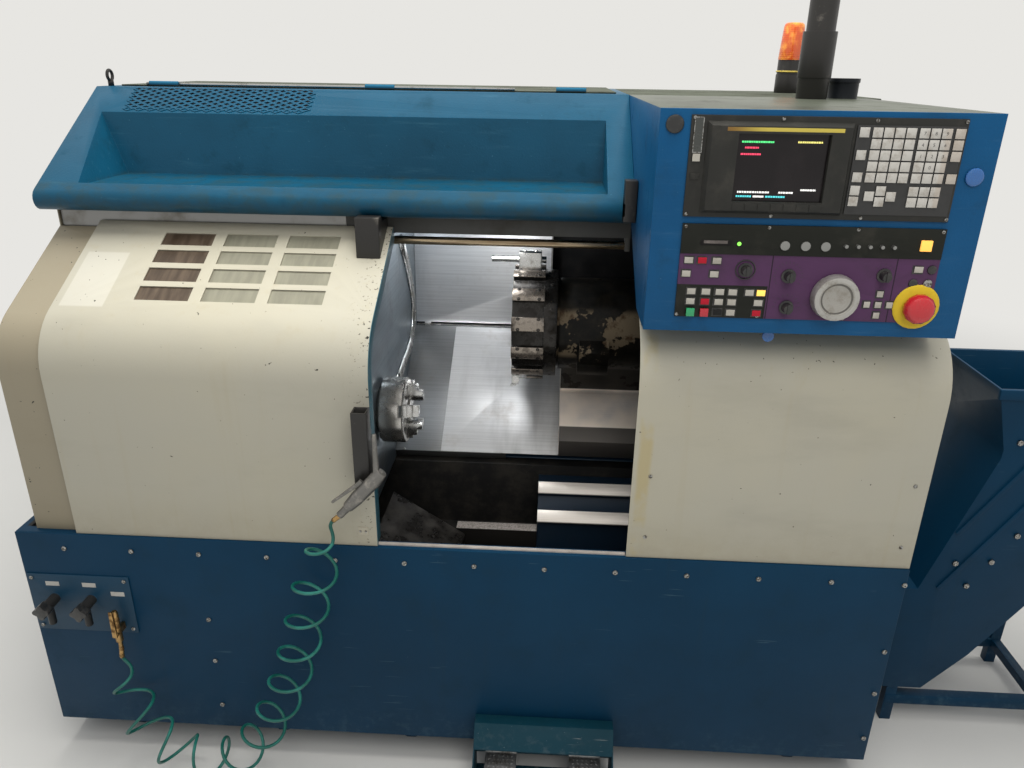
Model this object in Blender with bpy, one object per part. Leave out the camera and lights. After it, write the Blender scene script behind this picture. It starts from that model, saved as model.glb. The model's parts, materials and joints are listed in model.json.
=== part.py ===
"""A slant-bed CNC turning lathe, in metres, with +Z up. The front faces -Y and the spindle runs along X.

Every piece is modelled in machine coordinates, from the left front corner of the base on the floor, and
hangs on an empty that puts the middle of the whole machine over the origin.
"""

import math

import bmesh
import bpy
from mathutils import Matrix, Vector

# Clearances and general sheet metal
gap = 0.0003
running = 0.001
overrun = 0.020
bite = 0.002
sheet = 0.003
round_sides = 24
small_sides = 12

# Base
base_length = 2.100
base_top = 0.664
base_depth = 1.150
panel_bottom = 0.085
panel_sheet = 0.004
wall = 0.025
pan_floor = 0.470
pan_back = 0.440
skirt_setback = 0.060
skirt_bottom = 0.045
slot_width = 0.130
slot_height = 0.024
foot_radius = 0.045
foot_height = 0.014
foot_bolt_radius = 0.012
foot_inset = 0.160
foot_inner_left = 0.565
foot_inner_right = 0.921
foot_setback = 0.120

# Bent profile that the door and the two front covers share
cover_left = 0.045
cover_front = 0.005
cover_bend_z = 1.068
cover_bend_radius = 0.150
cover_slope = math.radians(29.5)
cover_top_y = 0.345
cover_setback = 0.014
cover_step = 0.010
bend_steps = 8
opening_right = 1.457

# Door
door_left = 0.151
door_right = 0.879
door_return = 0.030
window_margin = 0.179
window_pitch_x = 0.152
window_width = 0.124
window_height = 0.044
window_pitch_s = 0.061
window_first_s = 0.036
window_columns = 3
window_rows = 4
pane_border = 0.012
pane_thickness = 0.004

# Door handle and hanger
handle_width = 0.034
handle_overhang = 0.004
handle_depth = 0.036
handle_bottom = 0.840
handle_top = 1.030
handle_wall = 0.004
handle_standoff = 0.020
hanger_width = 0.056
hanger_x = 0.808
hanger_reach = 0.100

# Guide rod and header strip over the opening
rod_radius = 0.010
rod_left = 0.762
rod_back = 0.022
rod_height = 1.312
header_height = 0.044
ear_width = 0.024

# Hood, tool tray and roof
hood_left = 0.030
hood_bottom = 1.377
hood_front = 0.283
hood_roll = 0.027
hood_slope = math.radians(32.2)
roof_front = 0.660
roof_z = 1.647
roof_overhang = 0.060
roof_back = base_depth + roof_overhang
tray_left = 0.095
tray_right = 1.388
tray_floor = 1.434
tray_back = 0.552
tray_lip = 0.035
vent_left = 0.160
vent_columns = 14
vent_rows = 5
vent_pitch_x = 0.032
vent_pitch_s = 0.015
vent_width = 0.022
vent_height = 0.010
vent_margin = 0.013
lid_inset = 0.030
lid_left = 0.070
lid_right = 1.420
lid_front = 0.700
lid_back = roof_back - lid_inset
lid_sheet = 0.004
barrel_radius = 0.007
barrel_length = 0.080

# Control box
box_left = 1.4503
box_right = 2.060
box_front = -0.030
box_bottom = 1.228
box_back = 0.655

# Display panel, screen and keyboard
display_left = 1.507
display_right = 1.995
display_bottom = 1.455
display_top = 1.637
plate = 0.004
bezel_left = 1.535
bezel_right = 1.798
bezel_bottom = 1.462
bezel_top = 1.628
bezel_depth = 0.016
screen_left = 1.591
screen_right = 1.755
screen_bottom = 1.487
screen_top = 1.607
keyboard_left = 1.802
keyboard_right = 1.990
keyboard_bottom = 1.466
keyboard_top = 1.624
key = 0.0170
key_pitch = 0.0196
key_height = 0.003
key_gap = 0.0035
key_rows = 5
key_blank_rows = {0: (1, 3), 8: (3,)}

soft_keys = 7
gauge_length = 0.060

# Operator panel and its controls
operator_left = 1.509
operator_right = 1.997
operator_bottom = 1.259
operator_top = 1.442
controls = {
    "handwheel": (1.810, 1.308),
    "estop": (1.969, 1.292),
    "mode": (1.636, 1.356),
    "feed": (1.719, 1.346),
    "spindle": (1.723, 1.284),
    "rapid": (1.898, 1.352),
    "start": (1.538, 1.270),
    "hold": (1.565, 1.270),
}
handwheel_radius = 0.045
handwheel_depth = 0.024
knob_radius = 0.014
knob_depth = 0.020
estop_radius = 0.029
estop_ring_radius = 0.044
estop_ring_depth = 0.006
estop_stem_radius = 0.014
estop_travel = 0.004
button = 0.016
button_depth = 0.006
button_travel = 0.002
stem_radius = 0.004
band_height = 0.057
key_switch_radius = 0.009
toggle_radius = 0.0035
toggle_length = 0.010
lamp = 0.020

switch_width = 0.028
switch_depth = 0.036
switch_lift = 0.012
switch_height = 0.104

# Beacon, extraction pipe and stub on the right roof
beacon_inset = (0.142, 0.159)
beacon_radius = 0.036
beacon_base_height = 0.052
beacon_ring_height = 0.040
beacon_dome_height = 0.102
pipe_inset = (0.168, 0.085)
pipe_radius = 0.034
pipe_sleeve_radius = 0.040
pipe_socket_radius = 0.037
pipe_socket_height = 0.048
pipe_sleeve_height = 0.104
pipe_height = 0.420
stub_inset = (0.078, 0.040)
stub_radius = 0.036
stub_height = 0.048
cap_height = 0.010
cap_lip = 0.002

# Bed, inner walls and guards
slope = math.radians(31.6)
guard_low_y = 0.467
guard_low_z = 0.663
seam_y = 0.867
inner_wall_x = 0.834
inner_top = 1.372
bed_left = 0.860
bed_right = 2.050
bed_setback = 0.010
way_left = 1.170
way_width = 0.040
way_low = 0.090
way_spacing = 0.220
way_rise = 0.016
tail_way_left = 1.247
tail_way_y = 0.2865
tail_way_z = 0.592
tail_way_pitch = 0.087
tail_way_width = 0.036
back_return = 0.020
wall_top = 1.285

# Headstock, spindle and chuck
spindle_y = 0.300
spindle_z = 0.885
headstock_left = 0.200
headstock_radius = 0.150
headstock_foot = 0.420
headstock_lift = 0.020
spindle_radius = 0.060
chuck_front = 0.905
chuck_radius = 0.085
chuck_length = 0.062
chuck_bore = 0.022
jaw_width = 0.030
jaw_slot_depth = 0.012
jaw_low = 0.034
jaw_high = 0.080
jaw_step = 0.018
jaw_length = 0.036
jaw_turn = math.radians(70.0)

# Turret, carriage and way covers, placed up the slope from the guard's low edge
turret_slope = 0.285
turret_left = 1.163
turret_width = 0.086
turret_radius = 0.160
turret_stations = 12
turret_flange_radius = 0.148
turret_flange_length = 0.034
turret_hub_radius = 0.062
turret_screw_radius = 0.006
pocket_width = 0.044
pocket_depth = 0.016
holder_width = 0.060
holder_reach = 0.046
boring_station = 3
boring_radius = 0.009
boring_out = 0.062
turning_station = 8
tool_width = 0.020
tool_out = 0.022
drum_radius = 0.128
drum_length = 0.300
cover_height = 0.030
cover_sheet = 0.002
fixed_cover_right = 1.150
slide_cover_left = 0.965
carriage_left = 1.300
carriage_length = 0.330
carriage_height = 0.110
carriage_run = 0.420
apron_run = 0.165
slide_low = 0.180
slide_run = 0.215
bracket_left = 1.341
bracket_right = 1.422
bracket_low = 0.128
bracket_high = 0.175
bracket_under = 0.247
bracket_over = 0.287
slab_height = 0.050

# Tailstock
tailstock_left = 1.760
tailstock_length = 0.220
tailstock_radius = 0.070
quill_radius = 0.030
quill_out = 0.050
quill_point = 0.030

# Rear cabinet
cabinet_inset = 0.060
cabinet_depth = 0.250
cabinet_bottom = 0.120
cabinet_drop = 0.047
cabinet_left = cabinet_inset
cabinet_right = base_length - cabinet_inset
cabinet_top = roof_z - cabinet_drop
cabinet_back = roof_back + cabinet_depth

louvre_rows = 6
louvre_start = 0.160
louvre_pitch = 0.030
groove = 0.008
groove_depth = 0.0015
side_groove_shares = (0.3, 0.7)

# Chip conveyor, in the plane across Y
conveyor_reach = 0.720
conveyor_front = 0.230
conveyor_back = 0.520
conveyor_low = 0.120
conveyor_run = 0.230
conveyor_bend = 0.330
conveyor_bend_z = 0.240
conveyor_rise = math.radians(58.0)
conveyor_depth = 0.310
conveyor_in_z = 0.450
hopper_lip = 0.230
hopper_foot = 0.275
hopper_foot_z = 0.865
hopper_top = 1.022
hopper_floor = 0.800
stand_post = 0.030
stand_x = 0.560
stand_beam_z = 0.180
conveyor_rib_shares = ((0.62, 1.9), (0.66, 2.6))

# Pedals
guard_left = 1.107
guard_right = 1.457
guard_top_z = 0.172
guard_top_reach = 0.030
guard_lip_reach = 0.066
guard_lip_z = 0.122
guard_reach = 0.165
guard_cheek_z = 0.030
pedal_width = 0.080
pedal_length = 0.125
pedal_inset = 0.028
pedal_thickness = 0.006
pedal_axis_y = 0.020
pedal_axis_z = 0.072
pedal_barrel = 0.008
pedal_pin = 0.004

# Service plate, taps and air line
service_left = 0.004
service_right = 0.260
service_bottom = 0.382
service_top = 0.548
tap_places = (0.066, 0.158)
tap_z = 0.480
tap_body_radius = 0.013
tap_out = 0.045
tap_drop = 0.055
tap_outlet_radius = 0.009
tap_radius = 0.021
tap_depth = 0.022
valve_x = 0.226
valve_top = 0.469
valve_bottom = 0.362
valve_radius = 0.009
valve_out = 0.032
lever_length = 0.070
lever_width = 0.012

# Air gun on the door handle, placed from the handle's lower right corner
gun_turn = math.radians(48.0)
gun_radius = 0.016
gun_length = 0.120
gun_nozzle_radius = 0.006
gun_nozzle_length = 0.105
gun_tail_radius = 0.009
gun_tail_length = 0.030
gun_lever_length = 0.075

# Curly hose: its middle line from the valve to the gun, and its outer radius along it
hose_radius = 0.004
hose_coil_radius = 0.050
hose_lead = 0.020
hose_route = ((0.228, -0.038, 0.300), (0.236, -0.052, 0.245), (0.262, -0.068, 0.180), (0.305, -0.076, 0.120),
              (0.365, -0.080, 0.074), (0.435, -0.082, 0.062), (0.505, -0.082, 0.080), (0.560, -0.080, 0.130),
              (0.605, -0.078, 0.200), (0.645, -0.076, 0.285), (0.680, -0.074, 0.380), (0.708, -0.072, 0.475),
              (0.730, -0.070, 0.560), (0.752, -0.068, 0.640), (0.774, -0.067, 0.710), (0.790, -0.067, 0.750))
hose_steps = 3
hose_taper_points = 9


def clear_scene():
    for item in list(bpy.data.objects):
        bpy.data.objects.remove(item, do_unlink=True)


def mesh_of(shape):
    bmesh.ops.recalc_face_normals(shape, faces=shape.faces)
    mesh = bpy.data.meshes.new("shape")
    shape.to_mesh(mesh)
    shape.free()
    return mesh


def block(low, high):
    """A box from its lowest to its highest corner."""
    shape = bmesh.new()
    bmesh.ops.create_cube(shape, size=1)
    middle = [(a + b) / 2 for a, b in zip(low, high)]
    for vertex in shape.verts:
        vertex.co = Vector([m + c * (b - a) for m, c, a, b in zip(middle, vertex.co, low, high)])
    return mesh_of(shape)


PLANES = {"X": lambda a, u, v: (a, u, v), "Y": lambda a, u, v: (u, a, v), "Z": lambda a, u, v: (u, v, a)}


def prism(outline, axis, start, end):
    """A closed outline in the plane across axis, pulled from start to end."""
    shape = bmesh.new()
    place = PLANES[axis]
    face = shape.faces.new([shape.verts.new(place(start, u, v)) for u, v in outline])
    pulled = bmesh.ops.extrude_face_region(shape, geom=[face])["geom"]
    moved = [item for item in pulled if isinstance(item, bmesh.types.BMVert)]
    bmesh.ops.translate(shape, verts=moved, vec=Vector(place(end - start, 0, 0)))
    return mesh_of(shape)


def circle(centre, radius, sides, turn=0.0):
    steps = [turn + math.tau * i / sides for i in range(sides)]
    return [(centre[0] + radius * math.cos(a), centre[1] + radius * math.sin(a)) for a in steps]


def rod(centre, radius, axis, start, end, sides=round_sides):
    return prism(circle(centre, radius, sides, math.pi / sides), axis, start, end)


def turned(profile, centre, axis, sides=round_sides):
    """Rings of (place along axis, radius), skinned and capped at both ends."""
    shape = bmesh.new()
    place = PLANES[axis]
    rings = []
    for along, radius in profile:
        ring = circle(centre, radius, sides, math.pi / sides)
        rings.append([shape.verts.new(place(along, u, v)) for u, v in ring])
    for first, second in zip(rings, rings[1:]):
        for i in range(sides):
            j = (i + 1) % sides
            shape.faces.new((first[i], first[j], second[j], second[i]))
    shape.faces.new(rings[0])
    shape.faces.new(rings[-1])
    return mesh_of(shape)


def moved(mesh, matrix):
    mesh.transform(matrix)
    return mesh


def about_x(mesh, y, z, angle):
    """Turns a mesh about the line along X through (y, z)."""
    there = Matrix.Translation((0, y, z))
    return moved(mesh, there @ Matrix.Rotation(angle, 4, "X") @ there.inverted())


def helper(mesh, folder):
    item = bpy.data.objects.new("helper", mesh)
    item.hide_render = True
    item.display_type = "WIRE"
    folder.objects.link(item)
    return item


def combined(base, others, operation):
    """The base joined with, or cut by, all the other meshes at once."""
    folder = bpy.data.collections.new("helpers")
    bpy.context.scene.collection.children.link(folder)
    tools = bpy.data.collections.new("tools")
    folder.children.link(tools)
    body = helper(base, folder)
    for other in others:
        helper(other, tools)
    step = body.modifiers.new("Combine", "BOOLEAN")
    step.operation = operation
    step.operand_type = "COLLECTION"
    step.collection = tools
    step.solver = "EXACT"
    graph = bpy.context.evaluated_depsgraph_get()
    result = bpy.data.meshes.new_from_object(body.evaluated_get(graph))
    for item in list(tools.objects) + [body]:
        bpy.data.objects.remove(item, do_unlink=True)
    bpy.data.collections.remove(tools)
    bpy.data.collections.remove(folder)
    return result


def joined(base, *others):
    return combined(base, others, "UNION")


def cut(base, *others):
    return combined(base, others, "DIFFERENCE")


def finish(name, colour, roughness, metallic=0.0):
    material = bpy.data.materials.new(name)
    material.use_nodes = True
    shader = material.node_tree.nodes["Principled BSDF"]
    shader.inputs["Base Color"].default_value = (*colour, 1)
    shader.inputs["Roughness"].default_value = roughness
    shader.inputs["Metallic"].default_value = metallic
    return material


FINISHES = {
    "base_blue": ((0.02, 0.09, 0.20), 0.45, 0.0),
    "bright_blue": ((0.02, 0.15, 0.38), 0.40, 0.0),
    "cover_cream": ((0.62, 0.61, 0.53), 0.45, 0.0),
    "roof_grey": ((0.25, 0.32, 0.30), 0.55, 0.0),
    "stainless": ((0.55, 0.55, 0.56), 0.32, 1.0),
    "dark_steel": ((0.10, 0.10, 0.11), 0.45, 0.8),
    "bright_steel": ((0.60, 0.60, 0.62), 0.22, 1.0),
    "black": ((0.02, 0.02, 0.02), 0.50, 0.0),
    "panel_dark": ((0.06, 0.07, 0.07), 0.50, 0.0),
    "panel_purple": ((0.13, 0.09, 0.20), 0.55, 0.0),
    "glass": ((0.05, 0.05, 0.05), 0.10, 0.0),
    "red": ((0.55, 0.02, 0.02), 0.35, 0.0),
    "yellow": ((0.80, 0.45, 0.02), 0.40, 0.0),
    "green": ((0.02, 0.40, 0.10), 0.40, 0.0),
    "orange": ((0.85, 0.20, 0.02), 0.25, 0.0),
    "key_grey": ((0.60, 0.58, 0.52), 0.50, 0.0),
    "casting": ((0.03, 0.10, 0.18), 0.55, 0.0),
    "brass": ((0.55, 0.38, 0.15), 0.35, 1.0),
    "hose_green": ((0.01, 0.16, 0.13), 0.35, 0.0),
    "gun_grey": ((0.20, 0.19, 0.19), 0.40, 0.5),
}


def piece(name, mesh, look, pivot=(0.0, 0.0, 0.0)):
    """One named solid whose origin is its pivot, in machine coordinates."""
    mesh.transform(Matrix.Translation(-Vector(pivot)))
    mesh.name = name
    mesh.materials.clear()
    mesh.materials.append(bpy.data.materials.get(look) or finish(look, *FINISHES[look]))
    mesh.shade_smooth()
    mesh.set_sharp_from_angle(angle=math.radians(30.0))
    item = bpy.data.objects.new(name, mesh)
    bpy.context.scene.collection.objects.link(item)
    item.parent = bpy.data.objects["machine"]
    item.location = pivot
    return item


# Base

def base_frame():
    """A cast box with an open chip pan along its front, a set-back skirt with lifting slots, its feet and door rail."""
    front = panel_sheet + gap
    top = base_top - gap
    outline = [(skirt_setback, skirt_bottom), (base_depth - skirt_setback, skirt_bottom),
               (base_depth - skirt_setback, panel_bottom), (base_depth, panel_bottom),
               (base_depth, top), (pan_back, top), (pan_back, pan_floor), (front + wall, pan_floor),
               (front + wall, top), (front, top), (front, panel_bottom), (skirt_setback, panel_bottom)]
    body = prism(outline, "X", 0.0, base_length)
    ends = [block((x, front + bite, pan_floor - bite), (x + wall, pan_back + bite, top))
            for x in (0.0, base_length - wall)]
    low = cover_front + sheet + running
    rail = block((inner_wall_x + gap, low, top - bite), (opening_right - gap, low + cover_step, top + cover_step / 2))
    body = joined(body, *ends, rail, *levelling_feet())
    slots = []
    for x in (foot_inset, foot_inner_left, foot_inner_right, base_length - foot_inset - 2 * slot_width):
        corner = (x + foot_radius + gap, skirt_setback - overrun, skirt_bottom - overrun)
        slots.append(block(corner, (corner[0] + slot_width, base_depth, skirt_bottom + slot_height)))
    piece("base_frame", cut(body, *slots), "base_blue")


def levelling_feet():
    """Round pads on bolts: four along the front and two at the back corners."""
    spots = [(x, foot_setback) for x in (foot_inset, foot_inner_left, foot_inner_right, base_length - foot_inset)]
    spots += [(x, base_depth - foot_setback) for x in (foot_inset, base_length - foot_inset)]
    profile = [(0.0, foot_radius), (foot_height, foot_radius * 0.8), (foot_height, foot_bolt_radius),
               (skirt_bottom + slot_height + bite, foot_bolt_radius)]
    return [turned(profile, spot, "Z", small_sides) for spot in spots]


def front_panel():
    low = (0.0, 0.0, panel_bottom)
    piece("front_panel", block(low, (base_length, panel_sheet, base_top)), "base_blue")


# Bent profile of the door and covers

def bent_path(inset):
    """The profile from the base's top edge, up round the bend and along the slope, inset towards the inside."""
    turn = math.pi / 2 - cover_slope
    centre_y = cover_front + cover_bend_radius
    radius = cover_bend_radius - inset
    path = [(cover_front + inset, base_top + gap)]
    for i in range(bend_steps + 1):
        a = turn * i / bend_steps
        path.append((centre_y - radius * math.cos(a), cover_bend_z + radius * math.sin(a)))
    y, z = path[-1]
    reach = cover_top_y - y
    path.append((cover_top_y, z + reach * math.tan(cover_slope)))
    return path


def bent_sheet(inset, start, end):
    return prism(bent_path(inset) + bent_path(inset + sheet)[::-1], "X", start, end)


def bent_end(inset, start, end):
    """A flat end wall that fills the bent profile back to the line where the slope stops."""
    path = bent_path(inset)
    return prism(path + [(cover_top_y, base_top + gap)], "X", start, end)


def side_panel(inset, left):
    """The flat end wall: it fills the bent profile and runs back to the cabinet, with two pressed grooves."""
    path = bent_path(inset)
    top = hood_bottom - gap
    outline = path + [(cover_top_y, top), (roof_back, top), (roof_back, base_top + gap)]
    body = prism(outline, "X", left, left + sheet)
    outer = left - overrun if inset else left + sheet - groove_depth
    grooves = []
    for share in side_groove_shares:
        z = base_top + share * (top - base_top)
        low = (outer, cover_top_y + overrun, z)
        grooves.append(block(low, (outer + overrun + groove_depth, roof_back - overrun, z + groove)))
    return cut(body, *grooves)


def left_cover():
    shell = bent_sheet(cover_setback, cover_left, inner_wall_x - cover_step)
    piece("left_cover", joined(shell, side_panel(cover_setback, cover_left)), "cover_cream")


def right_cover():
    shell = bent_sheet(0.0, opening_right, base_length)
    piece("right_cover", joined(shell, side_panel(0.0, base_length - sheet)), "cover_cream")


def slope_start():
    """Where the bend ends and the flat slope starts, on the outside."""
    return bent_path(0.0)[bend_steps + 1]


def window_cutters():
    y, z = slope_start()
    along = Vector((0, math.cos(cover_slope), math.sin(cover_slope)))
    cutters = []
    for column in range(window_columns):
        for row in range(window_rows):
            left = door_left + window_margin + column * window_pitch_x
            corner = Vector((left, y, z)) + along * (window_first_s + row * window_pitch_s)
            hole = block((0, 0, -overrun), (window_width, window_height, overrun))
            hole = moved(hole, Matrix.Rotation(cover_slope, 4, "X"))
            cutters.append(moved(hole, Matrix.Translation(corner)))
    return cutters


def door():
    """The sliding door: the bent sheet with its slots and a return flange along the closing edge."""
    shell = bent_sheet(0.0, door_left, door_right)
    inside = bent_end(door_return, door_right - overrun, door_right + overrun)
    over_rail = block((door_right - overrun, cover_front + sheet + gap, base_top - overrun),
                      (door_right + overrun, cover_top_y, base_top + cover_step))
    flange = cut(bent_end(0.0, door_right - sheet, door_right), inside, over_rail)
    piece("door", cut(joined(shell, flange), *window_cutters()), "cover_cream")


def door_window():
    """One glass pane behind the twelve slots, held against the inside of the slope."""
    y, z = slope_start()
    width = (window_columns - 1) * window_pitch_x + window_width + 2 * pane_border
    length = (window_rows - 1) * window_pitch_s + window_height + 2 * pane_border
    pane = block((0, 0, -sheet - gap - pane_thickness), (width, length, -sheet - gap))
    pane = moved(pane, Matrix.Rotation(cover_slope, 4, "X"))
    along = Vector((0, math.cos(cover_slope), math.sin(cover_slope))) * (window_first_s - pane_border)
    place = Vector((door_left + window_margin - pane_border, y, z)) + along
    piece("door_window", moved(pane, Matrix.Translation(place)), "glass")


def door_handle():
    """An open-topped tube standing on the door's edge, on a screwed bracket."""
    right = door_right + handle_overhang
    left = right - handle_width
    back = cover_front - handle_standoff
    front = back - handle_depth
    tube = block((left, front, handle_bottom), (right, back, handle_top))
    hollow = block((left + handle_wall, front + handle_wall, handle_bottom + handle_wall),
                   (right - handle_wall, back - handle_wall, handle_top + overrun))
    tube = cut(tube, hollow)
    middle = (handle_bottom + handle_top) / 2
    lug = block((left + handle_wall, back - bite, middle - handle_width),
                (door_right, cover_front - gap, middle + handle_width))
    piece("door_handle", joined(tube, lug), "black")


def door_hanger():
    """A block on the door's top edge that hooks over it, under the header, round the guide rod."""
    y, z = rod_centre()
    right = hanger_x + hanger_width
    body = prism(hanger_outline(y, z), "X", hanger_x, right)
    bore = rod((y, z), rod_radius + running, "X", hanger_x - overrun, right + overrun, small_sides)
    piece("door_hanger", cut(body, bore), "black")


def rod_centre():
    return (cover_top_y + rod_back, rod_height)


def hanger_outline(rod_y, rod_z):
    """From the slope's outer face, over its top edge and down behind it round the rod."""
    edge_y, edge_z = bent_path(0.0)[-1]
    reach = rod_radius + running + sheet
    lift = gap / math.cos(cover_slope)
    low_y = edge_y - hanger_reach
    low_z = edge_z - hanger_reach * math.tan(cover_slope) + lift
    strap_y = cover_top_y + 2 * sheet - gap
    front_y = hood_front - 2 * gap
    top_z = hood_bottom + switch_lift - sheet
    return [(low_y, low_z), (edge_y + gap, edge_z + lift), (edge_y + gap, rod_z - reach),
            (rod_y + reach, rod_z - reach), (rod_y + reach, rod_z + reach), (strap_y, rod_z + reach),
            (strap_y, hood_bottom - 2 * sheet), (front_y, hood_bottom - 2 * sheet), (front_y, top_z),
            (low_y, top_z)]


def header():
    """The stainless strip under the hood, with two ears that hold the round guide rod."""
    y, z = rod_centre()
    front = cover_top_y + 2 * sheet
    top = hood_bottom - gap
    outline = [(front, top - header_height), (front + sheet, top - header_height),
               (front + sheet, top - sheet), (front + header_height, top - sheet),
               (front + header_height, top), (front, top)]
    strip = prism(outline, "X", rod_left, box_left - gap)
    ears = [block((x, front + bite, z - ear_width / 2), (x + ear_width / 2, y + ear_width / 2, top - bite))
            for x in (rod_left, box_left - gap - ear_width / 2)]
    hole = rod((y, z), rod_radius + gap, "X", rod_left - overrun, box_left + overrun, small_sides)
    piece("header", cut(joined(strip, *ears), hole), "stainless")


def guide_rod():
    """The round rod under the hood that carries the door."""
    rod_shape = rod(rod_centre(), rod_radius, "X", rod_left, box_left - gap, small_sides)
    piece("door_rail_top", rod_shape, "brass")


# Hood with its tool tray, roof and lid

def hood_outline(inset):
    """From the roll's underside, round the roll and up the slope to the roof, inset towards the inside."""
    radius = hood_roll - inset
    centre = (hood_front + hood_roll, hood_bottom + hood_roll)
    turn = math.pi / 2 + (math.pi / 2 - hood_slope)
    path = []
    for i in range(bend_steps + 1):
        a = -math.pi / 2 - turn * i / bend_steps
        path.append((centre[0] + radius * math.cos(a), centre[1] + radius * math.sin(a)))
    y, z = path[-1]
    top = roof_z - inset
    path.append((y + (top - z) / math.tan(hood_slope), top))
    return path


def hood_section(inset, back):
    path = hood_outline(inset)
    return path + [(back, path[-1][1]), (back, path[0][1])]


def tray_cutter():
    """The recess with its floor, upright back and two ends that lean outwards."""
    lean = tray_lip
    low = [(tray_left + lean, hood_front + tray_lip), (tray_right, hood_front + tray_lip),
           (tray_right, tray_back), (tray_left + lean, tray_back)]
    shape = bmesh.new()
    floor = [shape.verts.new((x, y, tray_floor)) for x, y in low]
    spread = {tray_left + lean: tray_left - lean, tray_right: tray_right}
    roof = [shape.verts.new((spread[x], y, roof_z + overrun)) for x, y in low]
    shape.faces.new(floor)
    shape.faces.new(roof)
    for i in range(len(floor)):
        j = (i + 1) % len(floor)
        shape.faces.new((floor[i], floor[j], roof[j], roof[i]))
    return mesh_of(shape)


def vent_cutters():
    """Staggered lozenge holes through the slope beside the tray's back wall."""
    holes = []
    y, z = hood_outline(0.0)[-1]
    down = Vector((0, -math.cos(hood_slope), -math.sin(hood_slope)))
    for row in range(vent_rows):
        for column in range(vent_columns):
            x = vent_left + (column + 0.5 * (row % 2)) * vent_pitch_x
            outline = [(-vent_width / 2, 0), (0, -vent_height / 2), (vent_width / 2, 0), (0, vent_height / 2)]
            hole = prism(outline, "Z", -overrun / 2, overrun / 2)
            hole = moved(hole, Matrix.Rotation(hood_slope, 4, "X"))
            spot = Vector((x, y, z)) + down * (vent_margin + row * vent_pitch_s)
            holes.append(moved(hole, Matrix.Translation(spot)))
    return holes


def hood():
    right = box_left - gap
    body = prism(hood_section(0.0, roof_back), "X", hood_left, right)
    body = cut(body, tray_cutter())
    under = hood_section(sheet, roof_back + overrun)
    back = tray_back + sheet
    rear_y = roof_back - sheet
    rear = [(back, hood_bottom - overrun), (back, tray_floor), (under[-3][0], roof_z - sheet),
            (rear_y, roof_z - sheet), (rear_y, hood_bottom - overrun)]
    hollow = prism(rear, "X", hood_left + sheet, right - sheet)
    front_low = hood_front + tray_lip + sheet
    under_tray = block((hood_left + sheet, front_low, hood_bottom - overrun),
                       (right - sheet, back + bite, tray_floor - sheet))
    body = cut(body, hollow, under_tray)
    piece("hood", cut(body, *vent_cutters()), "bright_blue")


def top_lid():
    """A hinged roof lid on two long barrels near its front edge."""
    low = roof_z + gap
    axis = (lid_front, low + barrel_radius)
    body = block((lid_left, lid_front, low), (lid_right, lid_back, low + lid_sheet))
    starts = (lid_left + barrel_length, (lid_left + lid_right) / 2, lid_right - 2 * barrel_length)
    barrels = [rod(axis, barrel_radius, "X", x, x + barrel_length, small_sides) for x in starts]
    piece("top_lid", joined(body, *barrels), "roof_grey", (lid_left, *axis))


# Right roof and rear cabinet

def right_roof():
    """The fixed roof section behind the control box, open underneath."""
    low, right = hood_bottom, base_length - sheet - gap
    front = box_back + gap
    body = block((box_left, front, low), (right, roof_back, roof_z))
    hollow = block((box_left + sheet, front + sheet, low - overrun), (right - sheet, roof_back - sheet, roof_z - sheet))
    piece("right_roof", cut(body, hollow), "roof_grey")


def rear_cabinet():
    """The electrical cabinet on the back, with two doors marked off by grooves and louvres low on each."""
    front = roof_back + gap
    body = block((cabinet_left, front, cabinet_bottom), (cabinet_right, cabinet_back, cabinet_top))
    middle = (cabinet_left + cabinet_right) / 2
    deep = cabinet_back - groove_depth
    cuts = [block((middle - groove / 2, deep, cabinet_bottom + overrun),
                  (middle + groove / 2, cabinet_back + overrun, cabinet_top - overrun))]
    width = (cabinet_right - cabinet_left) / 2
    for side in range(2):
        left = cabinet_left + side * width + width / 3
        for row in range(louvre_rows):
            z = cabinet_bottom + louvre_start + row * louvre_pitch
            cuts.append(block((left, deep, z), (left + width / 3, cabinet_back + overrun, z + groove)))
    piece("rear_cabinet", cut(body, *cuts), "base_blue")


# Control box and its panels

panel_back = box_front - gap
panel_face = panel_back - plate


def box_section():
    """Upright front, and an underside that steps up along the cover's slope."""
    y, z = slope_start()
    clear = z + cover_step
    start = y + (box_bottom - clear) / math.tan(cover_slope)
    back_z = clear + (cover_top_y - y) * math.tan(cover_slope)
    return [(box_front, box_bottom), (start, box_bottom), (cover_top_y, back_z), (box_back, back_z),
            (box_back, roof_z), (box_front, roof_z)]


def control_box():
    """The box for the screen and the controls, with a capped duct stub on its top."""
    box = prism(box_section(), "X", box_left, box_right)
    place = (box_right - stub_inset[0], box_back - stub_inset[1])
    top = roof_z + stub_height
    stub = turned([(roof_z - bite, stub_radius), (top - cap_height, stub_radius), (top - cap_height, stub_radius + cap_lip),
                   (top, stub_radius + cap_lip)], place, "Z", round_sides)
    piece("control_box", joined(box, stub), "bright_blue")


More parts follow.
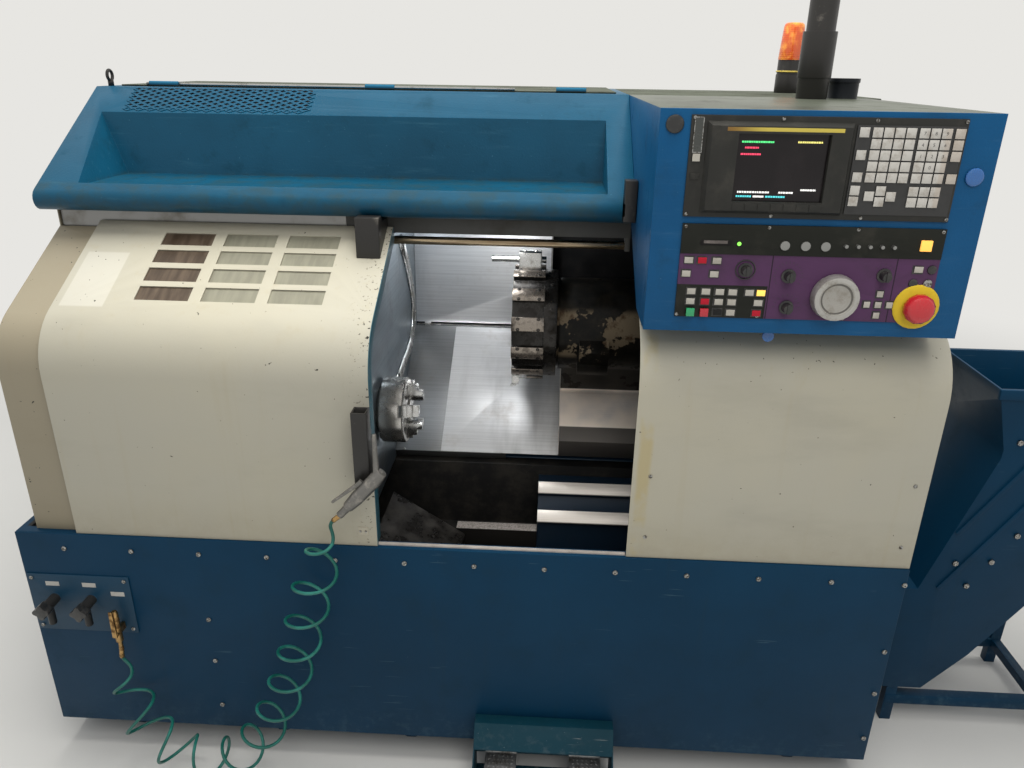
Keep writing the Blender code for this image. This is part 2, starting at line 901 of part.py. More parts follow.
def display_panel():
    """The black upper plate with the deep bezel round the screen and a row of soft keys under it."""
    body = block((display_left, panel_face, display_bottom), (display_right, panel_back, display_top))
    front = panel_face - bezel_depth
    lean = bezel_depth / 2
    ring = [(bezel_left, bezel_bottom), (bezel_right, bezel_bottom), (bezel_right, bezel_top), (bezel_left, bezel_top)]
    shape = bmesh.new()
    inner = [shape.verts.new((x, panel_face + bite, z)) for x, z in ring]
    middle = ((bezel_left + bezel_right) / 2, (bezel_bottom + bezel_top) / 2)
    outer = [shape.verts.new((x + math.copysign(lean, middle[0] - x), front, z + math.copysign(lean, middle[1] - z)))
             for x, z in ring]
    shape.faces.new(inner)
    shape.faces.new(outer)
    for i in range(len(ring)):
        j = (i + 1) % len(ring)
        shape.faces.new((inner[i], inner[j], outer[j], outer[i]))
    body = joined(body, mesh_of(shape))
    body = cut(body, block((screen_left, front - overrun, screen_bottom),
                           (screen_right, panel_face - plate / 2, screen_top)))
    width = (screen_right - screen_left) / soft_keys
    keys = [block((screen_left + i * width + sheet / 2, front - sheet / 2, bezel_bottom + lean + sheet / 2),
                  (screen_left + (i + 1) * width - sheet / 2, front + bite, screen_bottom - sheet))
            for i in range(soft_keys)]
    side = (display_left + bezel_left) / 2
    gauge = block((side - key_gap * 2, panel_face - sheet / 2, display_top - gauge_length - key_gap),
                  (side + key_gap * 2, panel_face + bite, display_top - key_gap))
    power = [block((side - button / 2, panel_face - sheet, z - button / 3), (side + button / 2, panel_face + bite,
             z + button / 3)) for z in (display_top - gauge_length - button, display_top - gauge_length - 3 * button)]
    piece("display_panel", joined(body, *keys, gauge, *power), "panel_dark")


def screen():
    """A picture tube's slightly bulged face in the bezel."""
    back = panel_face - plate / 2 - gap
    low = (screen_left + gap, back - plate, screen_bottom + gap)
    glass = block(low, (screen_right - gap, back, screen_top - gap))
    piece("screen", glass, "glass")


def keyboard():
    """A dark plate with a grid of square keys, and arrow and edit keys under it."""
    back = panel_face - gap
    front = back - plate / 2
    plate_body = block((keyboard_left, front, keyboard_bottom), (keyboard_right, back, keyboard_top))
    shapes = []
    columns = [0] * 1 + [1] * 4 + [2] * 3 + [3] * 1
    for row in range(key_rows):
        for column, group in enumerate(columns):
            if row in key_blank_rows.get(column, ()):
                continue
            spot = (column, row)
            shapes.append(key_shape(spot, group, front))
    for row in range(2):
        for column, group in ((0, 0), (5, 2), (6, 2), (7, 2)):
            shapes.append(key_shape((column, key_rows + row + key_gap / key), group, front))
    for column, row in ((1.2, 0.5), (2.2, 0), (2.2, 1), (3.2, 0.5)):
        shapes.append(key_shape((column, key_rows + row + key_gap / key), 1, front))
    piece("keyboard", joined(plate_body, *shapes), "key_grey")


def key_shape(spot, group, front):
    x = keyboard_left + key_gap + spot[0] * key_pitch + group * key_gap
    z = keyboard_top - key_gap - spot[1] * key_pitch
    return block((x, front - key_height, z - key), (x + key, front + bite / 2, z))


# Places on the operator panel, as shares of its width and height from its lower left corner
square_key_shares = ((0.035, 0.62), (0.088, 0.62), (0.145, 0.62), (0.030, 0.475), (0.140, 0.475),
                     (0.057, 0.285), (0.115, 0.285), (0.170, 0.285), (0.221, 0.285), (0.287, 0.285), (0.332, 0.285),
                     (0.057, 0.175), (0.115, 0.175), (0.170, 0.175), (0.221, 0.175), (0.326, 0.175),
                     (0.170, 0.060), (0.221, 0.060), (0.324, 0.060), (0.924, 0.580))
arrow_key_shares = ((0.795, 0.191), (0.795, 0.308), (0.795, 0.074), (0.751, 0.191), (0.839, 0.191))
key_switch_shares = ((0.398, 0.798), (0.477, 0.798), (0.553, 0.798))
toggle_shares = ((0.629, 0.809), (0.675, 0.809), (0.720, 0.809), (0.766, 0.809), (0.811, 0.809))
lamp_share = (0.932, 0.830)
slot_share = (0.135, 0.810)


def on_panel(share):
    return (operator_left + share[0] * (operator_right - operator_left),
            operator_bottom + share[1] * (operator_top - operator_bottom))


def panel_block(share, width, height, depth):
    x, z = on_panel(share)
    return block((x - width / 2, panel_face - depth, z - height / 2), (x + width / 2, panel_face + bite, z + height / 2))


def operator_panel():
    """The purple panel: a dark raised band, keys, switches, the stop button's collar and holes for push stems."""
    body = block((operator_left, panel_face, operator_bottom), (operator_right, panel_back, operator_top))
    band = block((operator_left, panel_face - sheet / 2, operator_top - band_height),
                 (operator_right, panel_face + bite, operator_top))
    small = button * 0.72
    shapes = [band] + [panel_block(share, button, button * 0.72, sheet) for share in square_key_shares]
    shapes += [panel_block(share, small, small, sheet) for share in arrow_key_shares]
    shapes.append(panel_block(lamp_share, lamp, lamp, 2 * sheet))
    shapes.append(panel_block(slot_share, 3 * lamp, lamp / 2, sheet))
    for shares, radius, depth in ((key_switch_shares, key_switch_radius, 2 * sheet),
                                  (toggle_shares, toggle_radius, toggle_length)):
        shapes += [rod(on_panel(share), radius, "Y", panel_face - depth, panel_face + bite, small_sides)
                   for share in shares]
    shapes.append(turned([(panel_face + bite, estop_ring_radius), (panel_face - estop_ring_depth / 2, estop_ring_radius),
                          (panel_face - estop_ring_depth, estop_ring_radius * 0.9)], controls["estop"], "Y"))
    body = joined(body, *shapes)
    holes = [rod(controls[name], radius + gap, "Y", panel_face - overrun, panel_back + overrun, small_sides)
             for name, radius in (("start", stem_radius), ("hold", stem_radius), ("estop", estop_stem_radius))]
    piece("operator_panel", cut(body, *holes), "panel_purple")


def knob(name, place):
    """A turned knob with a raised pointer ridge."""
    back = panel_face - gap
    front = back - knob_depth
    body = turned([(back, knob_radius), (back - sheet, knob_radius), (back - sheet, knob_radius * 0.72),
                   (front, knob_radius * 0.62)], place, "Y", small_sides)
    ridge = block((place[0] - knob_radius * 0.2, front - sheet, place[1] - knob_radius * 0.6),
                  (place[0] + knob_radius * 0.2, front + bite, place[1] + knob_radius * 0.75))
    piece(name, joined(body, ridge), "black", (place[0], back, place[1]))


def handwheel():
    """A dished disc with a knurled rim band and one small crank knob."""
    place = controls["handwheel"]
    back = panel_face - gap
    front = back - handwheel_depth
    rim = handwheel_radius
    body = turned([(back, rim * 0.55), (back - sheet, rim * 0.55), (back - sheet, rim), (front, rim * 0.94),
                   (front, rim * 0.70), (front + sheet, rim * 0.66)], place, "Y", round_sides)
    spot = (place[0] - rim * 0.28, place[1] - rim * 0.62)
    crank = rod(spot, rim * 0.10, "Y", front - sheet, front + 2 * sheet, small_sides)
    piece("handwheel", joined(body, crank), "bright_steel", (place[0], back, place[1]))


def emergency_stop():
    place = controls["estop"]
    seat = panel_face - estop_ring_depth - estop_travel - running
    mushroom = turned([(panel_face, estop_stem_radius), (seat, estop_stem_radius), (seat, estop_radius),
                       (seat - estop_radius * 0.4, estop_radius), (seat - estop_radius * 0.68, estop_radius * 0.8),
                       (seat - estop_radius * 0.8, estop_radius * 0.4)], place, "Y", small_sides)
    piece("estop_button", mushroom, "red", (place[0], panel_face, place[1]))


def push_button(name, place, look):
    back = panel_face - button_travel - running
    cap = block((place[0] - button / 2, back - button_depth, place[1] - button / 2),
                (place[0] + button / 2, back, place[1] + button / 2))
    stem = rod(place, stem_radius, "Y", back - bite, panel_face + running, small_sides)
    piece(name, joined(cap, stem), look, (place[0], back, place[1]))


def operator_controls():
    for name in ("mode", "feed", "spindle", "rapid"):
        knob(f"{name}_knob", controls[name])
    handwheel()
    emergency_stop()
    push_button("cycle_start", controls["start"], "green")
    push_button("feed_hold", controls["hold"], "red")


def interlock_switch():
    """A black switch box on the hood's roll with an actuator slot."""
    right = box_left - gap - running
    left = right - switch_width
    back = hood_front - gap
    body = block((left, back - switch_depth, hood_bottom + switch_lift), (right, back, hood_bottom + switch_height))
    slot = block((left - overrun, back - switch_depth - overrun, hood_bottom + 2 * switch_lift),
                 (left + sheet, back - sheet, hood_bottom + switch_height / 2))
    piece("interlock_switch", cut(body, slot), "black")


# Roof items on the right roof and the control box

def beacon():
    """A warning light: its base, a plain ring and a dome with a flat top."""
    place = (base_length - beacon_inset[0], roof_back - beacon_inset[1])
    base_z = roof_z + gap
    base_top_z = base_z + beacon_base_height
    base = turned([(base_z, beacon_radius), (base_top_z, beacon_radius), (base_top_z, beacon_radius * 0.95),
                   (base_top_z + beacon_ring_height, beacon_radius * 0.95)], place, "Z", round_sides)
    piece("beacon_base", base, "black")
    low = base_top_z + beacon_ring_height + gap
    top = low + beacon_dome_height
    dome = turned([(low, beacon_radius), (top - beacon_radius / 3, beacon_radius * 0.84),
                   (top - beacon_radius / 8, beacon_radius * 0.78), (top, beacon_radius * 0.62)],
                  place, "Z", round_sides)
    piece("beacon_dome", dome, "orange")


def extraction_pipe():
    """A round pipe with a sleeve and a socket that stands on the control box, open at its top."""
    place = (box_right - pipe_inset[0], box_back - pipe_inset[1])
    low = roof_z + gap
    top = low + pipe_height
    socket_top = low + pipe_socket_height
    sleeve_top = socket_top + pipe_sleeve_height
    body = turned([(low, pipe_socket_radius), (socket_top, pipe_socket_radius), (socket_top, pipe_sleeve_radius),
                   (sleeve_top, pipe_sleeve_radius), (sleeve_top, pipe_radius), (top, pipe_radius)],
                  place, "Z", round_sides)
    hollow = rod(place, pipe_radius - sheet, "Z", socket_top, top + overrun, round_sides)
    piece("extraction_pipe", cut(body, hollow), "black")


# Bed, headstock and inner walls, in slant coordinates

def on_slope(along, above):
    """A (y, z) place along the slope from the guard's low edge, and above the slope."""
    return (guard_low_y + along * math.cos(slope) - above * math.sin(slope),
            guard_low_z + along * math.sin(slope) + above * math.cos(slope))


def slope_of(y, z):
    """How far up the slope and above it a (y, z) place lies."""
    dy, dz = y - guard_low_y, z - guard_low_z
    return (dy * math.cos(slope) + dz * math.sin(slope), dz * math.cos(slope) - dy * math.sin(slope))


spindle_above = slope_of(spindle_y, spindle_z)[1]
turret_y, turret_z = on_slope(turret_slope, spindle_above)
slope_length = (seam_y - guard_low_y) / math.cos(slope)


def slanted(along, above, left, right):
    """A bar along X with a rectangular section that follows the slope."""
    low, high = along
    under, over = above
    outline = [on_slope(low, under), on_slope(high, under), on_slope(high, over), on_slope(low, over)]
    return prism(outline, "X", left, right)


def slant_bed():
    """The sloping casting with its two carriage ways, and the tailstock's two ways on a ledge at its front."""
    foot = base_top + gap
    start, end = on_slope(bed_setback, 0.0), on_slope(slope_length - bed_setback, 0.0)
    outline = [start, end, (base_depth - wall, end[1]), (base_depth - wall, foot), (start[0], foot)]
    body = prism(outline, "X", bed_left, bed_right)
    ways = [slanted((s, s + way_width), (-bite, cover_height), way_left, bed_right)
            for s in (way_low, way_low + way_spacing)]
    piece("slant_bed", joined(body, *ways), "casting")


def tail_outline():
    """The tailstock bed's section: two raised ways across a block that leans like the main bed."""
    right = pan_back - gap
    front = tail_way_y - tail_way_width
    top = [(tail_way_y + i * tail_way_pitch * math.cos(slope), tail_way_z + i * tail_way_pitch * math.sin(slope))
           for i in range(2)]
    lean_y, lean_z = math.cos(slope), math.sin(slope)
    outline = [(right, pan_floor + gap), (front, pan_floor + gap)]
    for y, z in top:
        outline += [(y - tail_way_width * lean_y / 2 + way_rise * lean_z, z - tail_way_width * lean_z / 2 - way_rise * lean_y),
                    (y - tail_way_width * lean_y / 2, z - tail_way_width * lean_z / 2),
                    (y + tail_way_width * lean_y / 2, z + tail_way_width * lean_z / 2),
                    (y + tail_way_width * lean_y / 2 + way_rise * lean_z, z + tail_way_width * lean_z / 2 - way_rise * lean_y)]
    return outline + [(right, outline[-1][1])]


def tail_bed():
    piece("tailstock_bed", prism(tail_outline(), "X", tail_way_left, bed_right), "casting")


def way_cover():
    """The fixed plate of the telescopic way cover, bent down along its low edge."""
    high = cover_height + cover_sheet
    plate_shape = slanted((0.0, slope_length - gap / 2), (cover_height, high), inner_wall_x + gap, fixed_cover_right)
    lip = slanted((0.0, cover_sheet), (sheet, cover_height + bite / 4), inner_wall_x + gap, fixed_cover_right)
    rib = slanted((way_low, way_low + cover_sheet), (gap, cover_height + bite / 4), bed_left, fixed_cover_right)
    piece("way_cover", joined(plate_shape, lip, rib), "stainless")


def back_guard():
    """The upright stainless sheet behind the work area, with a return along its foot."""
    foot = on_slope(slope_length, cover_height + 3 * cover_sheet)[1] + sheet
    right = base_length - 2 * sheet
    low = (inner_wall_x + gap, seam_y + gap, foot)
    upright = block(low, (right, seam_y + cover_sheet, inner_top - 2 * sheet))
    ledge = block((low[0], seam_y + gap, foot), (right, seam_y + back_return, foot + cover_sheet))
    legs = [block((x, seam_y + gap, base_top + gap + bed_rise()), (x + back_return, seam_y + cover_sheet, foot + bite))
            for x in (bed_left, bed_right - back_return)]
    piece("back_guard", joined(upright, ledge, *legs), "stainless")


def bed_rise():
    return on_slope(slope_length - bed_setback, 0.0)[1] - base_top


def inner_left_wall():
    """The work area's left wall, with the round hole that the spindle nose comes through."""
    path = [point for point in bent_path(2 * sheet) if point[1] < wall_top]
    outline = path + [(cover_top_y, wall_top), (seam_y, wall_top), (seam_y, base_top + gap)]
    wall_plate = prism(outline, "X", inner_wall_x - sheet, inner_wall_x)
    hole = rod((spindle_y, spindle_z), spindle_radius + running, "X", inner_wall_x - overrun, inner_wall_x + overrun)
    piece("inner_left_wall", cut(wall_plate, hole), "stainless")


def headstock():
    """A ribbed spindle housing on a cast foot that leans like the bed, with a bearing cap at its nose."""
    centre = (spindle_y, spindle_z)
    right = inner_wall_x - sheet - cover_step
    barrel = turned([(headstock_left, headstock_radius * 0.8), (headstock_left + wall, headstock_radius * 0.8),
                     (headstock_left + wall, headstock_radius), (right, headstock_radius)], centre, "X")
    foot = base_top + gap
    support = prism([(spindle_y, foot + headstock_lift), (pan_back + gap, foot + headstock_lift), (pan_back + gap, foot),
                     (pan_back + headstock_foot, foot),
                     (pan_back + headstock_foot, spindle_z), (spindle_y, spindle_z)],
                    "X", headstock_left + 2 * wall, right - wall)
    bore = rod(centre, spindle_radius + gap, "X", headstock_left - overrun, right + overrun)
    piece("headstock", cut(joined(barrel, support), bore), "casting")


def chuck():
    """The spindle with the chuck body on its nose: three T-slots, and three stepped jaws in them."""
    centre = (spindle_y, spindle_z)
    back = chuck_front - chuck_length
    body = turned([(headstock_left - wall, spindle_radius), (back + bite, spindle_radius), (back, spindle_radius),
                   (back, chuck_radius * 0.96), (back + sheet, chuck_radius), (chuck_front - sheet, chuck_radius),
                   (chuck_front, chuck_radius * 0.96)], centre, "X", round_sides)
    cuts = [rod(centre, chuck_bore, "X", headstock_left - 2 * wall, chuck_front + overrun, small_sides)]
    for number in range(3):
        slot = block((chuck_front - jaw_slot_depth, -jaw_width / 2 - gap, jaw_low * 0.6),
                     (chuck_front + overrun, jaw_width / 2 + gap, chuck_radius + overrun))
        cuts.append(jaw_placed(slot, number))
    piece("chuck_body", cut(body, *cuts), "dark_steel", (chuck_front, *centre))
    for number in range(3):
        back_x = chuck_front - jaw_slot_depth + gap
        half = jaw_width / 2
        steps = [(back_x, jaw_low), (chuck_front + jaw_length, jaw_low), (chuck_front + jaw_length, jaw_low + jaw_step),
                 (chuck_front + jaw_length * 0.6, jaw_low + jaw_step), (chuck_front + jaw_length * 0.6, jaw_low + 2 * jaw_step),
                 (chuck_front + jaw_length * 0.28, jaw_low + 2 * jaw_step), (chuck_front + jaw_length * 0.28, jaw_high),
                 (back_x, jaw_high)]
        jaw = prism([(x, r) for x, r in steps], "Y", -half, half)
        piece(f"jaw_{number + 1}", jaw_placed(jaw, number), "bright_steel", (chuck_front, *centre))


def jaw_placed(mesh, number):
    """Turns a shape drawn straight up from the spindle axis to jaw number's place."""
    turn = Matrix.Rotation(jaw_turn + math.tau * number / 3, 4, "X")
    return moved(mesh, Matrix.Translation((0, spindle_y, spindle_z)) @ turn)


# Carriage and turret

def carriage():
    """The saddle on the bed's ways, with its stainless apron and the sliding plate of the way cover."""
    right = carriage_left + carriage_length
    saddle = slanted((0.0, carriage_run), (cover_height + gap, carriage_height), carriage_left, right)
    relief = slanted((apron_run, slide_low), (carriage_height - 2 * sheet, carriage_height + overrun),
                     carriage_left - overrun, right + overrun)
    low = cover_height + cover_sheet + gap
    plate_shape = slanted((0.0, slope_length - 2 * sheet), (low, low + cover_sheet), slide_cover_left, carriage_left + bite)
    piece("carriage", joined(cut(saddle, relief), plate_shape), "stainless")


def turret_housing():
    """The drum that holds the turret's shaft, on the cross slide that runs up and down the saddle."""
    centre = (turret_y, turret_z)
    left = turret_left + turret_width + turret_flange_length + gap
    body = turned([(left, drum_radius * 0.94), (left + 2 * sheet, drum_radius * 0.94), (left + 2 * sheet, drum_radius),
                   (left + drum_length - wall, drum_radius), (left + drum_length, drum_radius * 0.86)], centre, "X")
    shoe = slanted((slide_low, slide_low + slide_run), (carriage_height + gap, spindle_above),
                   carriage_left + gap, carriage_left + carriage_length - wall)
    block_low = slanted((bracket_low, bracket_high), (bracket_under, bracket_over), bracket_left, bracket_right)
    slab = slanted((bracket_low + sheet, bracket_high), (bracket_over - bite, bracket_over + slab_height),
                   bracket_left + sheet, bracket_right)
    piece("turret_housing", joined(body, shoe, block_low, slab), "dark_steel", (0.0, *centre))


def station_turn(number):
    return math.tau * number / turret_stations


def turret_outline():
    """A twelve-sided outline with a tool slot in the middle of every side."""
    half = math.pi / turret_stations
    flat = turret_radius * math.cos(half)
    slot = pocket_width / 2
    outline = []
    for number in range(turret_stations):
        a = station_turn(number)
        out, side = (math.cos(a), math.sin(a)), (-math.sin(a), math.cos(a))
        corner = flat * math.tan(half)
        for across, deep in ((-corner, 0.0), (-slot, 0.0), (-slot, pocket_depth), (slot, pocket_depth), (slot, 0.0)):
            reach = flat - deep
            outline.append((turret_y + out[0] * reach + side[0] * across, turret_z + out[1] * reach + side[1] * across))
    return outline


def turret_disc():
    """The indexing disc: twelve slotted stations, a clamping flange behind them and a bolted hub in front."""
    centre = (turret_y, turret_z)
    right = turret_left + turret_width
    body = prism(turret_outline(), "X", turret_left, right)
    flange = turned([(right - bite, turret_flange_radius), (right + turret_flange_length, turret_flange_radius),
                     (right + turret_flange_length, turret_hub_radius)], centre, "X")
    dish = turned([(turret_left - overrun, turret_hub_radius * 1.5), (turret_left + 2 * sheet, turret_hub_radius * 1.4),
                   (turret_left + 2 * sheet, turret_hub_radius * 0.9)], centre, "X")
    body = joined(cut(body, dish), flange)
    centre_hub = turned([(turret_left - sheet, turret_hub_radius * 0.8), (turret_left, turret_hub_radius),
                         (turret_left + 3 * sheet, turret_hub_radius)], centre, "X")
    screws = [rod((turret_y + turret_hub_radius * 0.6 * math.cos(a), turret_z + turret_hub_radius * 0.6 * math.sin(a)),
                  turret_screw_radius, "X", turret_left - overrun, turret_left + sheet, small_sides // 2)
              for a in (math.tau * i / 6 for i in range(6))]
    piece("turret_disc", cut(joined(body, centre_hub), *screws), "dark_steel", (turret_left, *centre))


def at_station(mesh, number):
    """Turns a shape drawn along Y from the turret's centre to a station's place."""
    return moved(mesh, Matrix.Translation((0, turret_y, turret_z)) @ Matrix.Rotation(station_turn(number), 4, "X"))


def pocket_floor():
    return turret_radius * math.cos(math.pi / turret_stations) - pocket_depth


def boring_holder():
    """A clamped block in the top station with a boring bar through it along X."""
    low = pocket_floor() + gap
    high = low + pocket_depth + holder_reach
    middle = turret_left + turret_width / 2
    body = block((middle - holder_width / 2, -pocket_width / 2 + gap, low),
                            (middle + holder_width / 2, pocket_width / 2 - gap, high))
    bar_z = high - holder_reach / 2
    bar = rod((0.0, bar_z), boring_radius, "X", turret_left - boring_out, turret_left + turret_width + gap, small_sides)
    screws = [rod((middle + side * holder_width / 4, 0.0), boring_radius / 2, "Z", high - bite, high + sheet, small_sides // 2)
              for side in (-1, 1)]
    up_to_side = Matrix.Rotation(-math.pi / 2, 4, "X")
    mesh = moved(joined(body, bar, *screws), up_to_side)
    piece("boring_holder", at_station(mesh, boring_station), "bright_steel")


def turning_tool():
    """A square shank in a low station, with a rhombic insert at its tip."""
    low = pocket_floor() + gap
    high = low + pocket_depth + tool_out
    left = turret_left + gap
    shank = block((left, -pocket_width / 2 + gap, low), (left + 2 * tool_width, pocket_width / 2 - gap, low + pocket_depth))
    arm = block((left, -tool_width / 2, low + pocket_depth / 2), (left + tool_width, tool_width / 2, high))
    insert = prism([(left - tool_width * 0.3, high + tool_width * 0.3), (left + tool_width * 0.2, high - tool_width * 0.6),
                    (left + tool_width * 0.9, high - tool_width * 0.3), (left + tool_width * 0.5, high + tool_width * 0.2)],
                   "Y", -tool_width / 2 - sheet, -tool_width / 2 + bite)
    mesh = moved(joined(shank, arm, insert), Matrix.Rotation(-math.pi / 2, 4, "X"))
    piece("turning_tool", at_station(mesh, turning_station), "bright_steel")


# Tailstock

def tailstock():
    """A cast body straddling its two ways, bored for the quill."""
    centre = (spindle_y, spindle_z)
    right = tailstock_left + tailstock_length
    barrel = rod(centre, tailstock_radius, "X", tailstock_left, right)
    lean_y, lean_z = math.cos(slope), math.sin(slope)
    clear = gap
    feet = [(tail_way_y + i * tail_way_pitch * lean_y + side * tail_way_width * lean_y / 2 - clear * lean_z,
             tail_way_z + i * tail_way_pitch * lean_z + side * tail_way_width * lean_z / 2 + clear * lean_y)
            for i in range(2) for side in (-1, 1)]
    base = prism([feet[0], feet[-1], (spindle_y + tailstock_radius * 0.9, spindle_z),
                  (spindle_y - tailstock_radius * 0.9, spindle_z)], "X", tailstock_left, right)
    bore = rod(centre, quill_radius + gap, "X", tailstock_left - overrun, right + overrun, small_sides)
    piece("tailstock", cut(joined(barrel, base), bore), "casting")
    nose = tailstock_left - quill_out
    quill = turned([(nose - quill_point, sheet / 2), (nose, quill_radius * 0.5), (nose, quill_radius),
                    (right - quill_out, quill_radius)], centre, "X", small_sides)
    piece("tailstock_quill", quill, "bright_steel")


# Chip conveyor

def conveyor_outline():
    """Out of the base, round the bend, up the incline to the head and back along the hopper, across Y."""
    left = base_length + gap
    right = base_length + conveyor_reach
    bend = base_length + conveyor_bend
    rise = math.tan(conveyor_rise)
    head_z = conveyor_bend_z + (right - stand_post - bend) * rise
    lip, foot = base_length + hopper_lip, base_length + hopper_foot
    back = bend - conveyor_depth / math.sin(conveyor_rise)
    start = back + (conveyor_in_z - conveyor_bend_z) / rise
    return [(left, conveyor_low), (base_length + conveyor_run, conveyor_low), (bend, conveyor_bend_z),
            (right - stand_post, min(head_z, hopper_floor)), (right, hopper_floor + stand_post), (right, hopper_top),
            (lip, hopper_top), (foot, hopper_foot_z), (foot, hopper_foot_z - wall), (start + stand_post * 2, conveyor_in_z),
            (left, conveyor_in_z)]


def conveyor_trough():
    """A closed inclined casing with pressed ribs on its sides and an open hopper on top."""
    body = prism(conveyor_outline(), "Y", conveyor_front, conveyor_back)
    lip, foot, right = base_length + hopper_lip, base_length + hopper_foot, base_length + conveyor_reach
    wide = 2 * sheet
    mouth = [(foot + wide, hopper_floor + wall), (right - wide, hopper_floor + wall + stand_post),
             (right - wide, hopper_top + overrun), (lip + wide * 1.5, hopper_top + overrun),
             (lip + wide, hopper_top), (foot + wide, hopper_foot_z)]
    hollow = prism(mouth, "Y", conveyor_front + wide, conveyor_back - wide)
    rim = [block((lip, y, hopper_top - wall), (right, y + 2 * wide, hopper_top))
           for y in (conveyor_front - wide, conveyor_back - wide)]
    rise = Matrix.Rotation(-conveyor_rise, 4, "Y")
    ribs = []
    for share in conveyor_rib_shares:
        rib = block((0, conveyor_front - wide, -wide), (conveyor_depth * 1.4, conveyor_front + bite, wide))
        spot = Vector((base_length + conveyor_bend * share[0], 0, conveyor_bend_z * share[1]))
        ribs.append(moved(moved(rib, rise), Matrix.Translation(spot)))
    piece("chip_conveyor", cut(joined(body, *rim, *ribs, *conveyor_stand()), hollow), "base_blue")


def conveyor_stand():
    """Two welded side frames of square tube under the incline, joined by a cross bar."""
    x = base_length + stand_x
    rise = math.tan(conveyor_rise)
    top = conveyor_bend_z + (stand_x - conveyor_bend) * rise + bite
    foot_left = base_length + conveyor_run - 3 * stand_post
    beam = stand_beam_z / 2
    shapes = []
    for y in (conveyor_front, conveyor_back - stand_post):
        post = [(x, 0.0), (x + stand_post, 0.0), (x + stand_post, top + stand_post), (x, top + stand_post)]
        shapes.append(prism(post, "Y", y + bite, y + stand_post - bite))
        shapes.append(block((foot_left + bite, y, beam - stand_post), (x + bite, y + stand_post, beam)))
        shapes.append(block((foot_left, y + bite, 0.0), (foot_left + stand_post, y + stand_post - bite, conveyor_low + bite)))
    shapes.append(block((x + bite, conveyor_front + 2 * bite, beam - stand_post + bite),
                        (x + stand_post - bite, conveyor_back - 2 * bite, beam - bite)))
    return shapes


# Foot pedals

def pedal_places():
    left = guard_left + pedal_inset
    return (left, guard_right - pedal_inset - pedal_width)


def pedal_guard():
    """A folded cover with end cheeks over the pedals, their pin and a floor plate."""
    back = -gap
    top = [(back, guard_top_z), (-guard_top_reach, guard_top_z), (-guard_lip_reach, guard_lip_z)]
    under = [(-guard_lip_reach, guard_lip_z - sheet), (-guard_top_reach, guard_top_z - sheet),
             (back - sheet, guard_top_z - sheet), (back - sheet, panel_bottom), (back, panel_bottom)]
    shell = prism(top + under, "X", guard_left, guard_right)
    cheek = top + [(-guard_reach, guard_cheek_z), (-guard_reach, 0.0), (back, 0.0)]
    ends = [prism(cheek, "X", x, x + sheet) for x in (guard_left, guard_right - sheet)]
    floor_plate = block((guard_left, -guard_reach, 0.0), (guard_right, back, sheet))
    pin = rod((-pedal_axis_y, pedal_axis_z), pedal_pin, "X", guard_left, guard_right, small_sides)
    piece("pedal_guard", joined(shell, *ends, floor_plate, pin), "bright_blue")


def pedals():
    """Two treadles with raised diamonds, each turning on the guard's pin."""
    for name, left in zip(("left_pedal", "right_pedal"), pedal_places()):
        right = left + pedal_width
        tread = block((left, -pedal_axis_y - pedal_length, pedal_axis_z - pedal_thickness),
                      (right, -pedal_axis_y, pedal_axis_z))
        barrel = rod((-pedal_axis_y, pedal_axis_z), pedal_barrel, "X", left, right, small_sides)
        bore = rod((-pedal_axis_y, pedal_axis_z), pedal_pin + gap, "X", left - overrun, right + overrun, small_sides)
        piece(name, cut(joined(tread, barrel), bore), "stainless", (left, -pedal_axis_y, pedal_axis_z))


# Service plate, taps and air valve

def service_plate():
    """A screwed plate with two elbow taps that point down."""
    back = -gap
    body = block((service_left, back - sheet, service_bottom), (service_right, back, service_top))
    shapes = []
    for x in tap_places:
        shapes.append(rod((x, tap_z), tap_body_radius, "Y", -tap_out, back - sheet / 2, small_sides))
        shapes.append(rod((x, -tap_out + tap_body_radius), tap_outlet_radius, "Z", tap_z - tap_drop, tap_z, small_sides))
    piece("service_plate", joined(body, *shapes), "base_blue")
    for number, x in enumerate(tap_places, start=1):
        back_y = -tap_out - gap
        lobes = [(x + math.cos(a) * tap_radius * (0.82 + 0.18 * math.cos(4 * a)),
                  tap_z + math.sin(a) * tap_radius * (0.82 + 0.18 * math.cos(4 * a)))
                 for a in (math.tau * i / round_sides for i in range(round_sides))]
        piece(f"tap_knob_{number}", prism(lobes, "Y", back_y - tap_depth, back_y), "black", (x, back_y, tap_z))


def air_valve():
    """A brass stop valve on a bracket, its hose tail pointing down, and a quarter-turn lever."""
    centre = (valve_x, -valve_out)
    body = turned([(valve_bottom, valve_radius * 0.6), (valve_bottom + 2 * valve_radius, valve_radius * 0.6),
                   (valve_bottom + 2 * valve_radius, valve_radius), (valve_top - valve_radius, valve_radius),
                   (valve_top, valve_radius * 0.7)], centre, "Z", small_sides)
    lug_z = valve_bottom + 4 * valve_radius
    lug = block((valve_x - valve_radius / 2, -valve_out, lug_z), (valve_x + valve_radius / 2, -sheet - 2 * gap, lug_z + 2 * valve_radius))
    boss = rod((valve_x, lug_z + valve_radius), valve_radius * 0.8, "Y", -valve_out - 1.5 * valve_radius, -valve_out, small_sides)
    piece("air_valve", joined(body, lug, boss), "brass")
    front = -valve_out - 1.5 * valve_radius - gap
    pivot = (valve_x, front, lug_z + valve_radius)
    half = lever_width / 2
    handle = prism([(valve_x - half, pivot[2] - half), (valve_x + half, pivot[2] - half),
                    (valve_x + half * 0.7, pivot[2] + lever_length), (valve_x - half * 0.7, pivot[2] + lever_length)],
                   "Y", front - sheet, front)
    piece("valve_lever", handle, "brass", pivot)


# Air gun and hose

